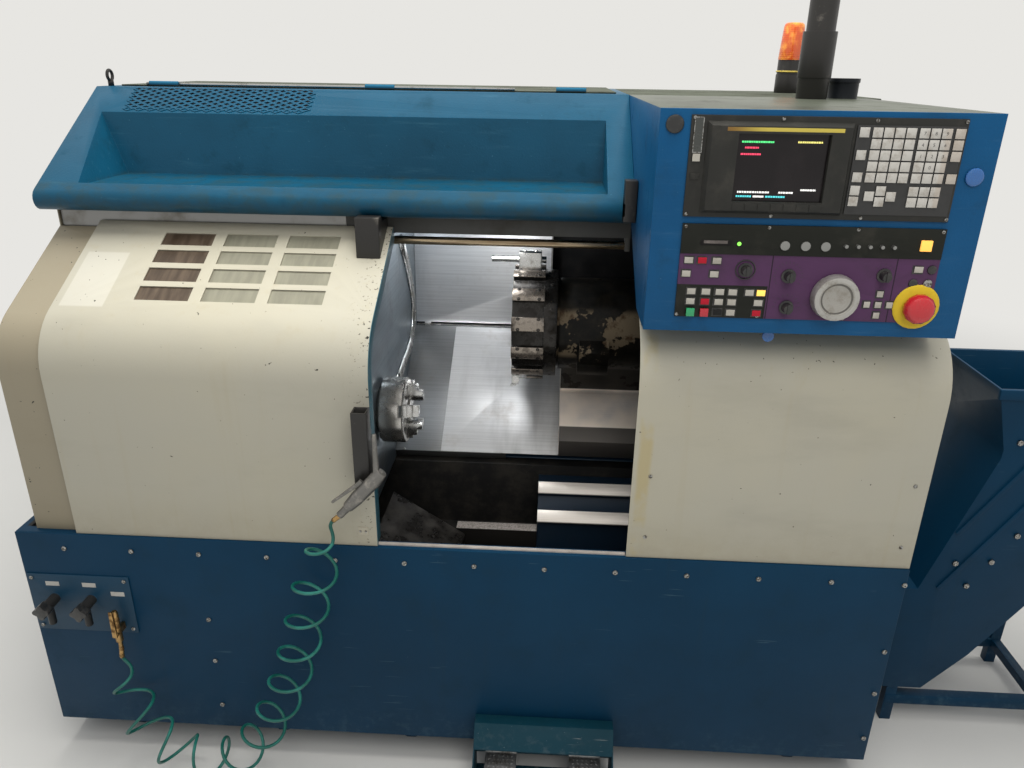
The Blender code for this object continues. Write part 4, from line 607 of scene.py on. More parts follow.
def cover_paint(name, chip_edge=None, patch=None, stain=None, shade_and_age=0.0):
    """Off-white paint. Chips gather by the edge at x, and a clean patch shows where a plate was. The last
    share darkens and yellows it all over, partly as age and partly as painted shade.
    """
    skin = Finish(name)
    cloud = skin.patches(0.35, 0.70, 2.0, 5.0, 0.6)
    smear = skin.patches(0.50, 0.76, 1.0, 5.0, 0.65, (2.2, 2.2, 7.0))
    drips = skin.patches(0.54, 0.80, 1.0, 4.0, 0.6, (34.0, 34.0, 1.3))
    low = 1 - skin.fade(skin.z, 0.66, 0.80)
    tone = skin.blend(cloud * 0.55, cream, (0.440, 0.412, 0.315))
    tone = skin.blend(smear * 0.32, tone, (0.300, 0.285, 0.235))
    tone = skin.blend(drips * 0.22, tone, (0.370, 0.310, 0.190))
    tone = skin.blend(low * skin.noise(30.0, 5.0, 0.7) * 0.45, tone, (0.260, 0.215, 0.130))
    # This blend darkens and yellows the whole cover, partly as age and partly as painted shade.
    tone = skin.blend(shade_and_age, tone, (0.235, 0.195, 0.125))
    rough = 0.40 + 0.16 * smear
    fleck = skin.patches(0.735, 0.75, 95.0, 2.0, 0.55)
    if stain is not None:
        mark = (skin.within(skin.x + 0.01 * skin.noise(8.0), stain, stain + 0.016, 0.012)
                * skin.patches(0.38, 0.60, 12.0, 4.0))
        tone = skin.blend(mark * 0.55, tone, (0.420, 0.330, 0.130))
    if chip_edge is not None:
        near = skin.fade(skin.x, chip_edge - 0.085, chip_edge - 0.004)
        fleck = fleck + near * near * skin.patches(0.62, 0.65, 120.0, 3.0, 0.6)
        flange = skin.fade(skin.x, chip_edge - 0.0018, chip_edge - 0.0012)
    if patch is not None:
        (left, right), (low_z, high_z) = patch
        clean = skin.within(skin.x, left, right, 0.003) * skin.within(skin.z, low_z, high_z, 0.003)
        tone = skin.blend(clean * 0.4, tone, (0.600, 0.590, 0.530))
    tone = skin.blend(fleck, tone, primer)
    if chip_edge is not None:
        tone = skin.blend(flange, tone, skin.blend(fleck, (0.022, 0.085, 0.115), (0.090, 0.120, 0.120)))
    bump = skin.bump(skin.noise(260.0, 3.0, 0.6) - 1.5 * fleck, 0.0003, 0.5)
    return skin.done(Base_Color=tone, Roughness=rough + 0.2 * fleck, Normal=bump, Specular_IOR_Level=0.25)


door_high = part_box("door")[1]
door_paint = cover_paint("door_paint", chip_edge=door_high.x,
                         patch=((across(0.169), across(0.266)), (door_high.z - 0.142, door_high.z - 0.058)))
dressed("door", door_paint, 0.0022, 3)
# The left cover is painted darker than the door, partly as painted shade.
dressed("left_cover", cover_paint("left_cover_paint", shade_and_age=0.7), 0.0022, 3)
dressed("right_cover", cover_paint("right_cover_paint", stain=across(1.478)), 0.0022, 3)

film = Finish("oily_pane")
film_streak = film.patches(0.35, 0.70, 1.0, 4.0, 0.6, (60.0, 8.0, 8.0))
film_side = film.fade(film.x, across(0.44), across(0.50))
film_tone = film.blend(film_streak * 0.5, (0.050, 0.034, 0.022), (0.160, 0.120, 0.085))
film_tone = film.blend(film_side * (0.62 + 0.18 * film_streak), film_tone, (0.270, 0.270, 0.205))
nodes["door_window"].data.materials.clear()
nodes["door_window"].data.materials.append(
    film.done(Base_Color=film_tone, Roughness=0.30 + 0.25 * film_streak, Coat_Weight=0.1))

black_paint = two_tone("worn_black_steel", (0.60, 0.74), (24.0, 5.0, 0.7), (0.014, 0.013, 0.012),
                       (0.085, 0.078, 0.068), 0.38, 0.2, ((420.0, 3.0), 0.0003, 0.5))
dressed("door_handle", black_paint, 0.0010)
dressed("door_hanger", black_paint, 0.0020)
dressed("interlock_switch", black_paint, 0.0020)

stainless_skin = Finish("brushed_strip")
brush_x = stainless_skin.noise(1.0, 3.0, 0.6, (3.0, 700.0, 700.0))
strip_dirt = stainless_skin.patches(0.48, 0.74, 6.0, 6.0, 0.7)
brushed_strip = stainless_skin.done(
    Base_Color=stainless_skin.blend(strip_dirt * 0.7, (0.24, 0.24, 0.235), (0.12, 0.105, 0.08)), Metallic=1.0,
    Roughness=0.30 + 0.16 * brush_x + 0.15 * strip_dirt, Normal=stainless_skin.bump(brush_x, 0.0002, 0.4))
# The header's steel is painted dark as painted shade under the hood, with darker dirt patches on it.
dressed("header", two_tone("header_steel", (0.45, 0.74), (6.0, 6.0, 0.7), (0.090, 0.090, 0.086),
                           (0.050, 0.045, 0.036),
                           0.62, 0.0, share=0.7, Metallic=0.5, Specular_IOR_Level=0.2), 0.0008)
dressed("door_rail_top", two_tone("oiled_guide_rod", (0.40, 0.70), (1.0, 4.0, 0.6, (5.0, 90.0, 90.0)),
                                  (0.46, 0.37, 0.25), (0.20, 0.13, 0.075), 0.24, 0.2, Metallic=1.0), 0.0006)
small_screw = screw_head(0.0045, 0.0026, 0.5)
cover_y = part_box("right_cover")[0].y
spread_on("cover_screws", small_screw, [Vector((x, cover_y, z)) for x, z in (
    (across(1.497), 0.877), (across(2.070), 0.877), (across(2.070), 0.720), (across(1.497), 0.720))])


# Hood, tool tray and roof
# The hood is one bent sheet with a recessed tray, in a hammered blue, painted paler in streaks where hands
# rub it, as wear and as a painted sheen.
# Its vent is punched with diamonds. The roof behind it is grey-green, with a hinged lid over the works.


def hammered(name, colour, pale, dark):
    """Blue paint with a coarse hammered skin."""
    skin = Finish(name)
    cloud = skin.noise(2.8, 4.0, 0.6)
    dirt = skin.patches(0.52, 0.76, 12.0, 6.0, 0.7)
    fleck = skin.patches(0.72, 0.745, 140.0, 3.0, 0.6)
    rubbed_sheen = skin.patches(0.56, 0.80, 1.0, 5.0, 0.7, (5.0, 60.0, 60.0))
    tone = skin.blend(skin.fade(cloud, 0.30, 0.72), colour, tuple(c * 0.78 for c in colour))
    # Pale streaks along x stand for rubbed wear and a painted sheen.
    tone = skin.blend(rubbed_sheen * 0.25, tone, pale)
    tone = skin.blend(dirt * 0.40, tone, dark)
    tone = skin.blend(fleck * 0.6, tone, pale)
    height = 0.8 * skin.noise(190.0, 2.0, 0.5) + 0.3 * skin.noise(520.0)
    return skin, tone, 0.36 + 0.22 * dirt, skin.bump(height, 0.0006, 0.6)


blue, blue_pale, blue_dark = (0.0045, 0.062, 0.116), (0.060, 0.180, 0.250), (0.005, 0.022, 0.032)
skin, tone, rough, skin_bump = hammered("hood_blue_paint", blue, blue_pale, blue_dark)
vent_left, vent_right = across(0.148), across(0.618)
vent_foot, vent_head = 1.6005, 1.6445
vent_shade_mask = (skin.within(skin.x, vent_left, vent_right, 0.001)
             * skin.within(skin.z, vent_foot, vent_head, 0.001))
tray_low = 1 - skin.fade(skin.z, 1.434, 1.446)
tray_dirt = tray_low * skin.patches(0.40, 0.66, 16.0, 5.0, 0.7)
tone = skin.blend(tray_dirt * 0.6, tone, (0.020, 0.045, 0.050))
# Behind the punched grille the hood is painted near black, as painted shade seen through the holes.
tone = skin.blend(vent_shade_mask, tone, (0.004, 0.004, 0.004))
dressed("hood", skin.done(Base_Color=tone, Roughness=rough, Normal=skin_bump, Specular_IOR_Level=0.22,
                          Coat_Weight=0.05, Coat_Roughness=0.22), 0.0020, 3)
skin, tone, rough, skin_bump = hammered("vent_paint", blue, blue_pale, blue_dark)
vent_paint = skin.done(Base_Color=tone, Roughness=rough, Normal=skin_bump, Specular_IOR_Level=0.22,
                       Coat_Weight=0.05, Coat_Roughness=0.22)

hood_pitch = math.radians(32.2)
vent_pitch_x, vent_pitch_s, vent_rows, vent_columns = 0.0300, 0.0086, 11, 16
vent_sheet, vent_lift, vent_hole = 0.0012, 0.0004, 0.58


def vent_cell():
    """One lozenge of the punched sheet with a lozenge hole, in the plane of X and Y."""
    shape = bmesh.new()
    corners = [(vent_pitch_x / 2, 0.0), (0.0, vent_pitch_s), (-vent_pitch_x / 2, 0.0), (0.0, -vent_pitch_s)]
    outer = [shape.verts.new((x, y, vent_sheet)) for x, y in corners]
    inner = [shape.verts.new((x * vent_hole, y * vent_hole, vent_sheet)) for x, y in corners]
    under = [shape.verts.new((x * vent_hole, y * vent_hole, 0.0)) for x, y in corners]
    rim = [shape.verts.new((x, y, 0.0)) for x, y in corners]
    loft(shape, (outer, inner, under, rim, outer), False)
    return closed_mesh(shape, "vent_cell")


vent_down = Vector((0.0, -math.cos(hood_pitch), -math.sin(hood_pitch)))
vent_out = Vector((0.0, -math.sin(hood_pitch), math.cos(hood_pitch)))
vent_top = at(0.150, 0.6452, 1.647) + vent_out * vent_lift
vent_spots = [vent_top + Vector(((column + 0.5 * (row % 2)) * vent_pitch_x, 0.0, 0.0))
              + vent_down * (0.0115 + row * vent_pitch_s) for row in range(vent_rows)
              for column in range(vent_columns)]
spread_on("vent_grille", vent_cell(), vent_spots, vent_paint, "root", "hood_blue", (hood_pitch, 0.0, 0.0))

roof_skin = Finish("roof_paint")
roof_dirt = roof_skin.patches(0.42, 0.72, 5.0, 6.0, 0.7)
roof_tone = roof_skin.blend(roof_dirt, (0.072, 0.080, 0.062), (0.046, 0.048, 0.038))
roof_rough = 0.60 + 0.25 * roof_dirt
roof_bump = roof_skin.bump(roof_skin.noise(330.0, 3.0), 0.0004, 0.5)
barrel = roof_skin.fade(roof_skin.z, 1.6516, 1.6522)
roof_tone = roof_skin.blend(barrel, roof_tone, (0.020, 0.110, 0.190))
roof_paint = roof_skin.done(Specular_IOR_Level=0.06, Base_Color=roof_tone, Roughness=roof_rough,
                            Normal=roof_bump)
dressed("top_lid", roof_paint, 0.0012)
dressed("right_roof", roof_paint, 0.0020)

bright_skin = Finish("ground_steel")
bright_stain = bright_skin.patches(0.50, 0.74, 28.0, 6.0, 0.7)
ground_steel = bright_skin.done(
    Base_Color=bright_skin.blend(bright_stain * 0.8, (0.56, 0.56, 0.55), (0.17, 0.145, 0.11)), Metallic=1.0,
    Roughness=0.22 + 0.25 * bright_stain + 0.08 * bright_skin.noise(420.0),
    Normal=bright_skin.bump(bright_skin.noise(1.0, 3.0, 0.6, (40.0, 900.0, 900.0)), 0.0001, 0.4))
pin_line = [at(0.142, 0.700, 1.6543), at(0.500, 0.700, 1.6543), at(1.150, 0.700, 1.6543)]
hinge_pin = tube("lid_hinge_pin", evenly(pin_line, 6), 0.0034, 12)
settled(mesh_piece("lid_hinge_pin", hinge_pin, ground_steel))
eye_middle = at(0.050, 0.684, 1.647)
eye_stem = [eye_middle + Vector((0.0, 0.0, z)) for z in (0.000, 0.010, 0.016)]
eye_ring = [eye_middle + Vector((0.0, 0.013 * math.sin(a), 0.027 - 0.013 * math.cos(a)))
            for a in (math.tau * k / 20 * 0.985 for k in range(21))]
for name, line, radius in (("eyebolt_stem", eye_stem, 0.0075), ("eyebolt_ring", eye_ring, 0.0042)):
    settled(mesh_piece(name, tube(name, line, radius, 12), black_paint))


# Control box and panels
# A folded box in a brighter blue hangs in front of the right cover. Its upper plate is charcoal plastic film
# with the screen and the keys, and its lower plate is a purple film with the switches.

skin, tone, rough, skin_bump = hammered("box_blue_paint", (0.005, 0.078, 0.200), (0.070, 0.170, 0.280),
                                        (0.012, 0.035, 0.060))
box_front_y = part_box("control_box")[0].y
on_top = skin.fade(skin.z, 1.6466, 1.6469) * skin.fade(skin.y, box_front_y + 0.005, box_front_y + 0.007)
top_dirt = skin.patches(0.42, 0.70, 7.0, 6.0, 0.7)
tone = skin.blend(on_top, tone, skin.blend(top_dirt, (0.072, 0.080, 0.062), (0.046, 0.048, 0.038)))
on_stub = skin.fade(skin.z, 1.6474, 1.6478)
tone = skin.blend(on_stub, tone, (0.012, 0.014, 0.017))
dressed("control_box", skin.done(Base_Color=tone, Roughness=rough, Normal=skin_bump, Specular_IOR_Level=0.16,
                                 Coat_Weight=0.03, Coat_Roughness=0.22), 0.0022, 3)
dressed("beacon_base", black_paint, 0.0015)
dressed("extraction_pipe", black_paint, 0.0012)

charcoal = Finish("charcoal_film")
char_dust = charcoal.patches(0.46, 0.74, 14.0, 6.0, 0.7)
char_tone = charcoal.blend(char_dust, (0.018, 0.018, 0.016), (0.038, 0.036, 0.031))
bezel_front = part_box("display_panel")[0].y
strip = (charcoal.within(charcoal.x, across(1.570), across(1.775), 0.001)
         * charcoal.within(charcoal.z, 1.6115, 1.6175, 0.0006)
         * (1 - charcoal.fade(charcoal.y, bezel_front + 0.004, bezel_front + 0.005)))
strip_tone = charcoal.blend(charcoal.fade(charcoal.x, across(1.570), across(1.65)),
                            (0.200, 0.110, 0.030), (0.520, 0.420, 0.080))
char_tone = charcoal.blend(strip, char_tone, strip_tone)
charcoal_film = charcoal.done(Base_Color=char_tone, Specular_IOR_Level=0.3, Roughness=0.42 + 0.2 * char_dust,
                              Normal=charcoal.bump(charcoal.noise(700.0), 0.0002, 0.4))
dressed("display_panel", charcoal_film, 0.0010)

dressed("screen", two_tone("picture_tube", (0.40, 0.80), (18.0, 4.0), (0.007, 0.005, 0.006),
                           (0.013, 0.010, 0.011), 0.16, 0.12, Specular_IOR_Level=0.3), 0.0)


def glow(name, colour, strength):
    """A lit colour, a little uneven like phosphor or a bulb behind plastic."""
    skin = Finish(name)
    tone = skin.blend(skin.noise(300.0), colour, tuple(c * 0.72 for c in colour))
    return skin.done(Base_Color=tone, Emission_Color=tone, Emission_Strength=strength, Roughness=0.3)


def plates(name, boxes, material, body="root", bevel=0.0):
    """Flat boxes in one mesh, each from its low to its high corner."""
    shape = bmesh.new()
    for low, high in boxes:
        corner = [shape.verts.new((x, y, z)) for x in (low[0], high[0]) for y in (low[1], high[1])
                  for z in (low[2], high[2])]
        for face in ((0, 1, 3, 2), (4, 6, 7, 5), (0, 4, 5, 1), (2, 3, 7, 6), (0, 2, 6, 4), (1, 5, 7, 3)):
            shape.faces.new([corner[k] for k in face])
    bmesh.ops.recalc_face_normals(shape, faces=shape.faces[:])
    if bevel:
        bmesh.ops.bevel(shape, geom=shape.edges[:], offset=bevel, segments=2, affect="EDGES", profile=0.6)
    settled(mesh_piece(name, closed_mesh(shape, name, outward=False), material), body)


tube_low, tube_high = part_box("screen")
random.seed(7)
row_skins = {"green": ((0.10, 0.85, 0.25), 0.9), "yellow": ((0.80, 0.72, 0.20), 0.9),
             "red": ((0.90, 0.06, 0.14), 0.9), "white": ((0.85, 0.85, 0.82), 0.9),
             "cyan": ((0.10, 0.70, 0.75), 0.8)}
screen_rows = {"green": [(0.05, 0.40, 0.880)], "yellow": [(0.66, 0.93, 0.885)],
               "red": [(0.09, 0.24, 0.795), (0.05, 0.27, 0.700)],
               "white": [(0.06, 0.42, 0.135), (0.52, 0.68, 0.135), (0.76, 0.93, 0.180), (0.24, 0.36, 0.070)],
               "cyan": [(0.05, 0.22, 0.070), (0.38, 0.60, 0.070)]}
for colour, rows in screen_rows.items():
    dashes = []
    for left, right, height in rows:
        x = left
        while x < right:
            wide = random.choice((0.016, 0.020, 0.026))
            ends = [tube_low.x + share * (tube_high.x - tube_low.x) for share in (x, min(right, x + wide))]
            z = tube_low.z + height * (tube_high.z - tube_low.z)
            dashes.append(((ends[0], tube_low.y - 0.0004, z - 0.0016), (ends[1], tube_low.y, z + 0.0016)))
            x += wide + (0.006 if colour != "white" or left != 0.24 else 0.0)
    plates("screen_rows_" + colour, dashes, glow("phosphor_" + colour, *row_skins[colour]))

key_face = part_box("keyboard")[0].y
keys = Finish("key_caps")
cap_mask = 1 - keys.fade(keys.y, key_face + 0.0006, key_face + 0.0012)
key_dirt = keys.patches(0.42, 0.72, 60.0, 5.0, 0.7)
key_band = keys.fade(keys.x, across(1.955), across(1.960))
cap_tone = keys.blend(key_dirt, (0.500, 0.485, 0.450), (0.330, 0.300, 0.260))
cap_tone = keys.blend(key_band * 0.6, cap_tone, (0.420, 0.360, 0.300))
key_tone = keys.blend(cap_mask, (0.026, 0.026, 0.026), cap_tone)
dressed("keyboard", keys.done(Base_Color=key_tone, Roughness=0.45 + 0.2 * key_dirt), 0.0007)


def flecked(name, scale, one, other, rough, metal=0.0):
    """A material whose two tones run into each other in a soft noise."""
    skin = Finish(name)
    return skin.done(Base_Color=skin.blend(skin.noise(scale), one, other), Roughness=rough, Metallic=metal)


key_ink = flecked("key_ink", 90.0, (0.03, 0.03, 0.03), (0.07, 0.07, 0.07), 0.5)


def number_on(name, text, middle, height, face_y):
    """A printed number, as thin raised ink on an upright face."""
    letters = bpy.data.curves.new(name, "FONT")
    letters.body, letters.size, letters.align_x, letters.align_y = text, height, "CENTER", "CENTER"
    letters.extrude, letters.resolution_u = 0.00005, 2
    holder = bpy.data.objects.new(name, letters)
    bpy.context.scene.collection.objects.link(holder)
    mesh = bpy.data.meshes.new_from_object(holder.evaluated_get(bpy.context.evaluated_depsgraph_get()))
    bpy.data.objects.remove(holder)
    mesh.transform(Matrix.Translation((middle[0], face_y - 0.00007, middle[1]))
                   @ Matrix.Rotation(math.pi / 2, 4, "X"))
    mesh.name = name
    settled(mesh_piece(name, mesh, key_ink))


key_size, key_step, key_space = 0.0180, 0.0196, 0.0035
for row, digits in enumerate(("789", "456", "123", " 0 ")):
    for column, digit in enumerate(digits):
        if digit != " ":
            spot = (across(1.802 + key_space + (5 + column) * key_step + 2 * key_space + key_size / 2),
                    1.624 - key_space - row * key_step - key_size / 2)
            number_on("key_number_" + digit, digit, spot, 0.0085, key_face)

panel_x, panel_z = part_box("operator_panel")[0].x, 1.259
panel_wide, panel_tall = 0.488, 0.183
panel_depth, bezel_depth = -0.0343, -0.0358
panel_front = at(0, panel_depth, 0).y
film_skin = Finish("purple_film")
worn = film_skin.patches(0.50, 0.76, 10.0, 6.0, 0.7)
purple = film_skin.blend(worn * 0.6, (0.082, 0.036, 0.088), (0.055, 0.034, 0.056))
share_x = (film_skin.x - panel_x) * (1.0 / panel_wide)
share_z = (film_skin.z - panel_z) * (1.0 / panel_tall)
olive = film_skin.blend(worn, (0.014, 0.015, 0.012), (0.030, 0.029, 0.024))
block = film_skin.within(share_x, -0.1, 0.355, 0.002) * film_skin.within(share_z, -0.1, 0.355, 0.004)
film_tone = film_skin.blend(block, purple, olive)
film_tone = film_skin.blend(film_skin.fade(share_z, 0.685, 0.690), film_tone, olive)
for line in (film_skin.within(share_x, 0.360, 0.364, 0.0005),
             film_skin.within(share_x, 0.838, 0.842, 0.0005)):
    film_tone = film_skin.blend(line * (1 - film_skin.fade(share_z, 0.685, 0.690)) * 0.8, film_tone,
                                (0.012, 0.010, 0.012))
proud = 1 - film_skin.fade(film_skin.y, panel_front - 0.0024, panel_front - 0.0018)
film_tone = film_skin.blend(proud, film_tone,
                            film_skin.blend(worn, (0.430, 0.410, 0.365), (0.270, 0.245, 0.205)))


def spot_mask(x_share, z_share, half_x, half_z):
    return film_skin.within(share_x, x_share - half_x, x_share + half_x, 0.002) * film_skin.within(
        share_z, z_share - half_z, z_share + half_z, 0.004) * proud


for x_share, z_share in ((0.088, 0.620), (0.115, 0.175), (0.324, 0.060)):
    film_tone = film_skin.blend(spot_mask(x_share, z_share, 0.020, 0.038), film_tone, (0.420, 0.014, 0.030))
film_tone = film_skin.blend(spot_mask(0.170, 0.060, 0.020, 0.038), film_tone, (0.015, 0.015, 0.015))
film_tone = film_skin.blend(spot_mask(0.135, 0.810, 0.070, 0.040), film_tone, (0.010, 0.009, 0.009))
film_tone = film_skin.blend(spot_mask(0.132, 0.818, 0.045, 0.014) * (0.3 + 0.7 * worn), film_tone,
                            (0.330, 0.290, 0.270))
lamp_mask = spot_mask(0.932, 0.830, 0.025, 0.065)
key_lamp = spot_mask(0.332, 0.285, 0.018, 0.038)
film_tone = film_skin.blend(lamp_mask, film_tone, (0.900, 0.420, 0.080))
film_tone = film_skin.blend(key_lamp, film_tone, (0.900, 0.620, 0.120))
stop_x, stop_z = across(1.969), 1.292
from_stop = film_skin.from_line(X=stop_x, Z=stop_z)
collar = (1 - film_skin.fade(from_stop, 0.0445, 0.0450)) * (1 - film_skin.fade(
    film_skin.y, panel_front - 0.0016, panel_front - 0.0010))
film_tone = film_skin.blend(collar, film_tone,
                            film_skin.blend(worn, (0.620, 0.440, 0.030), (0.400, 0.270, 0.030)))
switch_mask = (film_skin.within(share_x, 0.37, 0.83, 0.004)
               * film_skin.within(share_z, 0.73, 0.87, 0.004) * proud)
film_tone = film_skin.blend(switch_mask, film_tone, (0.300, 0.300, 0.290))
glow_tone = film_skin.blend(lamp_mask.or_more(key_lamp), (0.0, 0.0, 0.0), (1.0, 0.50, 0.10))
dressed("operator_panel", film_skin.done(
    Base_Color=film_tone, Roughness=0.40 + 0.2 * worn, Specular_IOR_Level=0.15, Metallic=switch_mask * 0.9,
    Emission_Color=glow_tone, Emission_Strength=0.8), 0.0007)

knob_skin = Finish("knob_plastic")
knob_tone = knob_skin.blend(knob_skin.patches(0.45, 0.75, 80.0, 5.0, 0.7), (0.012, 0.012, 0.012),
                            (0.045, 0.042, 0.038))
knob_plastic = knob_skin.done(Base_Color=knob_tone, Roughness=0.30 + 0.25 * knob_skin.noise(50.0),
                              Coat_Weight=0.3)
for node in ("mode_knob", "feed_knob", "spindle_knob", "rapid_knob", "tap_knob_1", "tap_knob_2"):
    dressed(node, knob_plastic, 0.0008)
key_spots = [(x_share, z_share, 0.0080) for z_share, columns in (
    (0.620, (0.037, 0.086, 0.143)), (0.576, (0.922,)), (0.478, (0.029, 0.139)),
    (0.283, (0.057, 0.115, 0.168, 0.221, 0.287, 0.332)), (0.174, (0.057, 0.115, 0.168, 0.221, 0.328)),
    (0.060, (0.168, 0.221, 0.324))) for x_share in columns]
key_spots += [(x_share, z_share, 0.0060) for x_share, z_share in (
    (0.795, 0.304), (0.750, 0.190), (0.795, 0.190), (0.839, 0.190), (0.795, 0.076))]
key_frames = []
for x_share, z_share, half in key_spots:
    middle = Vector((panel_x + x_share * panel_wide, panel_front, panel_z + z_share * panel_tall))
    key_frames.append((middle - Vector((half + 0.0022, 0.0006, 0.0082)),
                       middle + Vector((half + 0.0022, 0.0, 0.0082))))
plates("key_frames", key_frames, knob_plastic, "root")


def glossy(name, colour, worn_colour, coat=0.5):
    """Moulded plastic, greyed where fingers press it."""
    return two_tone(name, (0.50, 0.78), (55.0, 5.0, 0.7), colour, worn_colour, 0.25, 0.25, share=0.6,
                    Coat_Weight=coat, Coat_Roughness=0.2)


dressed("estop_button", glossy("stop_red", (0.480, 0.012, 0.020), (0.330, 0.040, 0.035)), 0.0012)
dressed("feed_hold", glossy("hold_red", (0.420, 0.012, 0.025), (0.260, 0.030, 0.035)), 0.0008)
dressed("cycle_start", glossy("start_green", (0.015, 0.300, 0.110), (0.030, 0.170, 0.080)), 0.0008)

wheel = Finish("hand_wheel")
wheel_far = wheel.from_line(X=across(1.810), Z=1.308)
wheel_rings = (wheel_far * 1500.0).sine()
wheel_dirt = wheel.patches(0.44, 0.72, 45.0, 5.0, 0.7)
wheel_face = 1 - wheel.fade(wheel_far, 0.0330, 0.0338)
wheel_groove = wheel.within(wheel_far, 0.0270, 0.0300, 0.0004)
wheel_tone = wheel.blend(wheel_face, (0.420, 0.410, 0.385), (0.330, 0.318, 0.290))
wheel_tone = wheel.blend(wheel_groove * 0.8, wheel_tone, (0.060, 0.056, 0.050))
wheel_tone = wheel.blend(wheel_dirt * 0.7, wheel_tone, (0.210, 0.185, 0.150))
dressed("handwheel", wheel.done(Base_Color=wheel_tone, Metallic=0.55 - 0.35 * wheel_face,
                                Roughness=0.36 + 0.2 * wheel_dirt,
                                Normal=wheel.bump(wheel_rings, 0.0002, 0.4)), 0.0010)

dome = Finish("amber_dome")
dome_ribs = (dome.z * 1200.0).sine()
dome_glow = dome.patches(0.40, 0.75, 45.0, 3.0)
dome_tone = dome.blend(dome_glow, (0.620, 0.085, 0.010), (0.900, 0.330, 0.045))
dressed("beacon_dome", dome.done(Base_Color=dome_tone, Roughness=0.12 + 0.1 * dome_glow, Coat_Weight=0.8,
                                 Emission_Color=dome_tone, Emission_Strength=0.12,
                                 Normal=dome.bump(dome_ribs, 0.0004, 0.3)), 0.0012)


ring_marks = Tree("marks_round_a_circle")
mark_part = ring_marks.entry("Part", "Object")
mark_finish = ring_marks.entry("Finish", "Material")
mark_radius = ring_marks.entry("Radius", "Float")
mark_start = ring_marks.entry("Start", "Float")
mark_sweep = ring_marks.entry("Sweep", "Float")
mark_count = ring_marks.entry("Count", "Int")
mark_place = ring_marks.entry("Place", "Vector")
mark_turn = ring_marks.entry("Turn", "Rotation")
arc = ring_marks.add("CurveArc", "Curve", Resolution=mark_count, Radius=mark_radius, Start_Angle=mark_start,
                     Sweep_Angle=mark_sweep)
arc_points = ring_marks.add("CurveToPoints", "Points", {"mode": "EVALUATED"}, Curve=arc)
arc_place = ring_marks.add("InputPosition", "Position")
facing = ring_marks.add("FunctionNodeAlignRotationToVector", "Rotation", {"axis": "X", "pivot_axis": "Z"},
                        Vector=arc_place)
mark_shape = ring_marks.add("ObjectInfo", "Geometry", Object=mark_part)
placed = ring_marks.add("InstanceOnPoints", "Instances", Points=arc_points, Instance=mark_shape,
                        Rotation=facing)
turned_marks = ring_marks.add("Transform", "Geometry", Geometry=placed, Translation=mark_place,
                              Rotation=mark_turn)
real_marks = ring_marks.add("RealizeInstances", "Geometry", Geometry=turned_marks)
ring_marks.finish(ring_marks.add("SetMaterial", "Geometry", Geometry=real_marks, Material=mark_finish))


def ring_of(name, part_mesh, material, place, turn, radius, count, start=0.0, sweep=None, body="root",
            slot="bright_steel"):
    """Copies of a part round a circle. Its X points outwards and its Z along the circle's axis."""
    part = bpy.data.objects.new(name + "_pattern", part_mesh)
    ring_marks.run(name, bpy.data.meshes.new(name), material, {
        "Part": part, "Finish": material, "Radius": radius, "Start": start,
        "Sweep": math.tau * (count - 1) / count if sweep is None else sweep, "Count": count,
        "Place": tuple(place), "Turn": turn}, body, slot)
    bpy.data.objects.remove(part)


def slab(name, low, high):
    """A box mesh by its two corners."""
    shape = bmesh.new()
    bmesh.ops.create_cube(shape, size=1.0)
    middle = (Vector(low) + Vector(high)) / 2
    size = Vector(high) - Vector(low)
    bmesh.ops.transform(shape, matrix=Matrix.Translation(middle) @ Matrix.Diagonal((*size, 1.0)),
                        verts=shape.verts[:])
    return closed_mesh(shape, name, outward=False)


to_front = (math.pi / 2, 0.0, 0.0)
tick = slab("dial_tick", (-0.0022, -0.0004, 0.0), (0.0022, 0.0004, 0.00015))
panel_print = flecked("panel_print", 80.0, (0.020, 0.018, 0.022), (0.035, 0.030, 0.036), 0.5)
for name, x, z, radius, count in (("feed", 1.719, 1.346, 0.0260, 17), ("spindle", 1.723, 1.284, 0.0240, 9),
                                  ("rapid", 1.898, 1.352, 0.0210, 5), ("mode", 1.636, 1.356, 0.0200, 2)):
    place = at(x, 0, z)
    place.y = panel_front
    span = math.radians(250.0 if count > 9 else 180.0 if count > 5 else 100.0)
    ring_of("dial_marks_" + name, tick, panel_print, place, to_front, radius, count,
            math.pi / 2 - span / 2, span, slot="panel_purple")
mode_place = at(1.636, 0, 1.356)
mode_place.y = panel_front - 0.0005
mode_line = [mode_place + Vector((0.0185 * math.cos(a), 0.0, 0.0185 * math.sin(a))) for a in
             (math.tau * k / 40 * 0.995 for k in range(41))]
settled(mesh_piece("mode_ring", tube("mode_ring", mode_line, 0.0013, 8), knob_plastic))
face_screw = screw_head(0.0034, 0.0018, 0.5)
face_spots = [at(x, panel_depth, z) for x in (1.513, 1.991) for z in (1.632, 1.460, 1.264)]
face_spots += [at(x, panel_depth, z) for x in (1.670, 1.835) for z in (1.632, 1.4595, 1.2635)]
face_spots += [at(x, bezel_depth, z) for x, z in ((1.515, 1.437), (1.670, 1.438), (1.835, 1.438),
                                                  (1.991, 1.437))]
spread_on("face_screws", face_screw, face_spots)


def button_cap(name, x, z, y, radius, height, material):
    """A round moulded cap on an upright face, crowned towards the front."""
    shape = bmesh.new()
    rings = [[shape.verts.new((across(x) + radius * share * math.cos(a), at(0, y, 0).y - height * out,
                               z + radius * share * math.sin(a))) for a in turns(28)]
             for share, out in ((1.0, 0.0), (1.0, 0.55), (0.93, 0.80), (0.75, 0.95), (0.40, 1.0))]
    loft(shape, rings)
    shape.faces.new(rings[-1]).smooth = True
    shape.faces.new(rings[0][::-1])
    settled(mesh_piece(name, closed_mesh(shape, name), material))


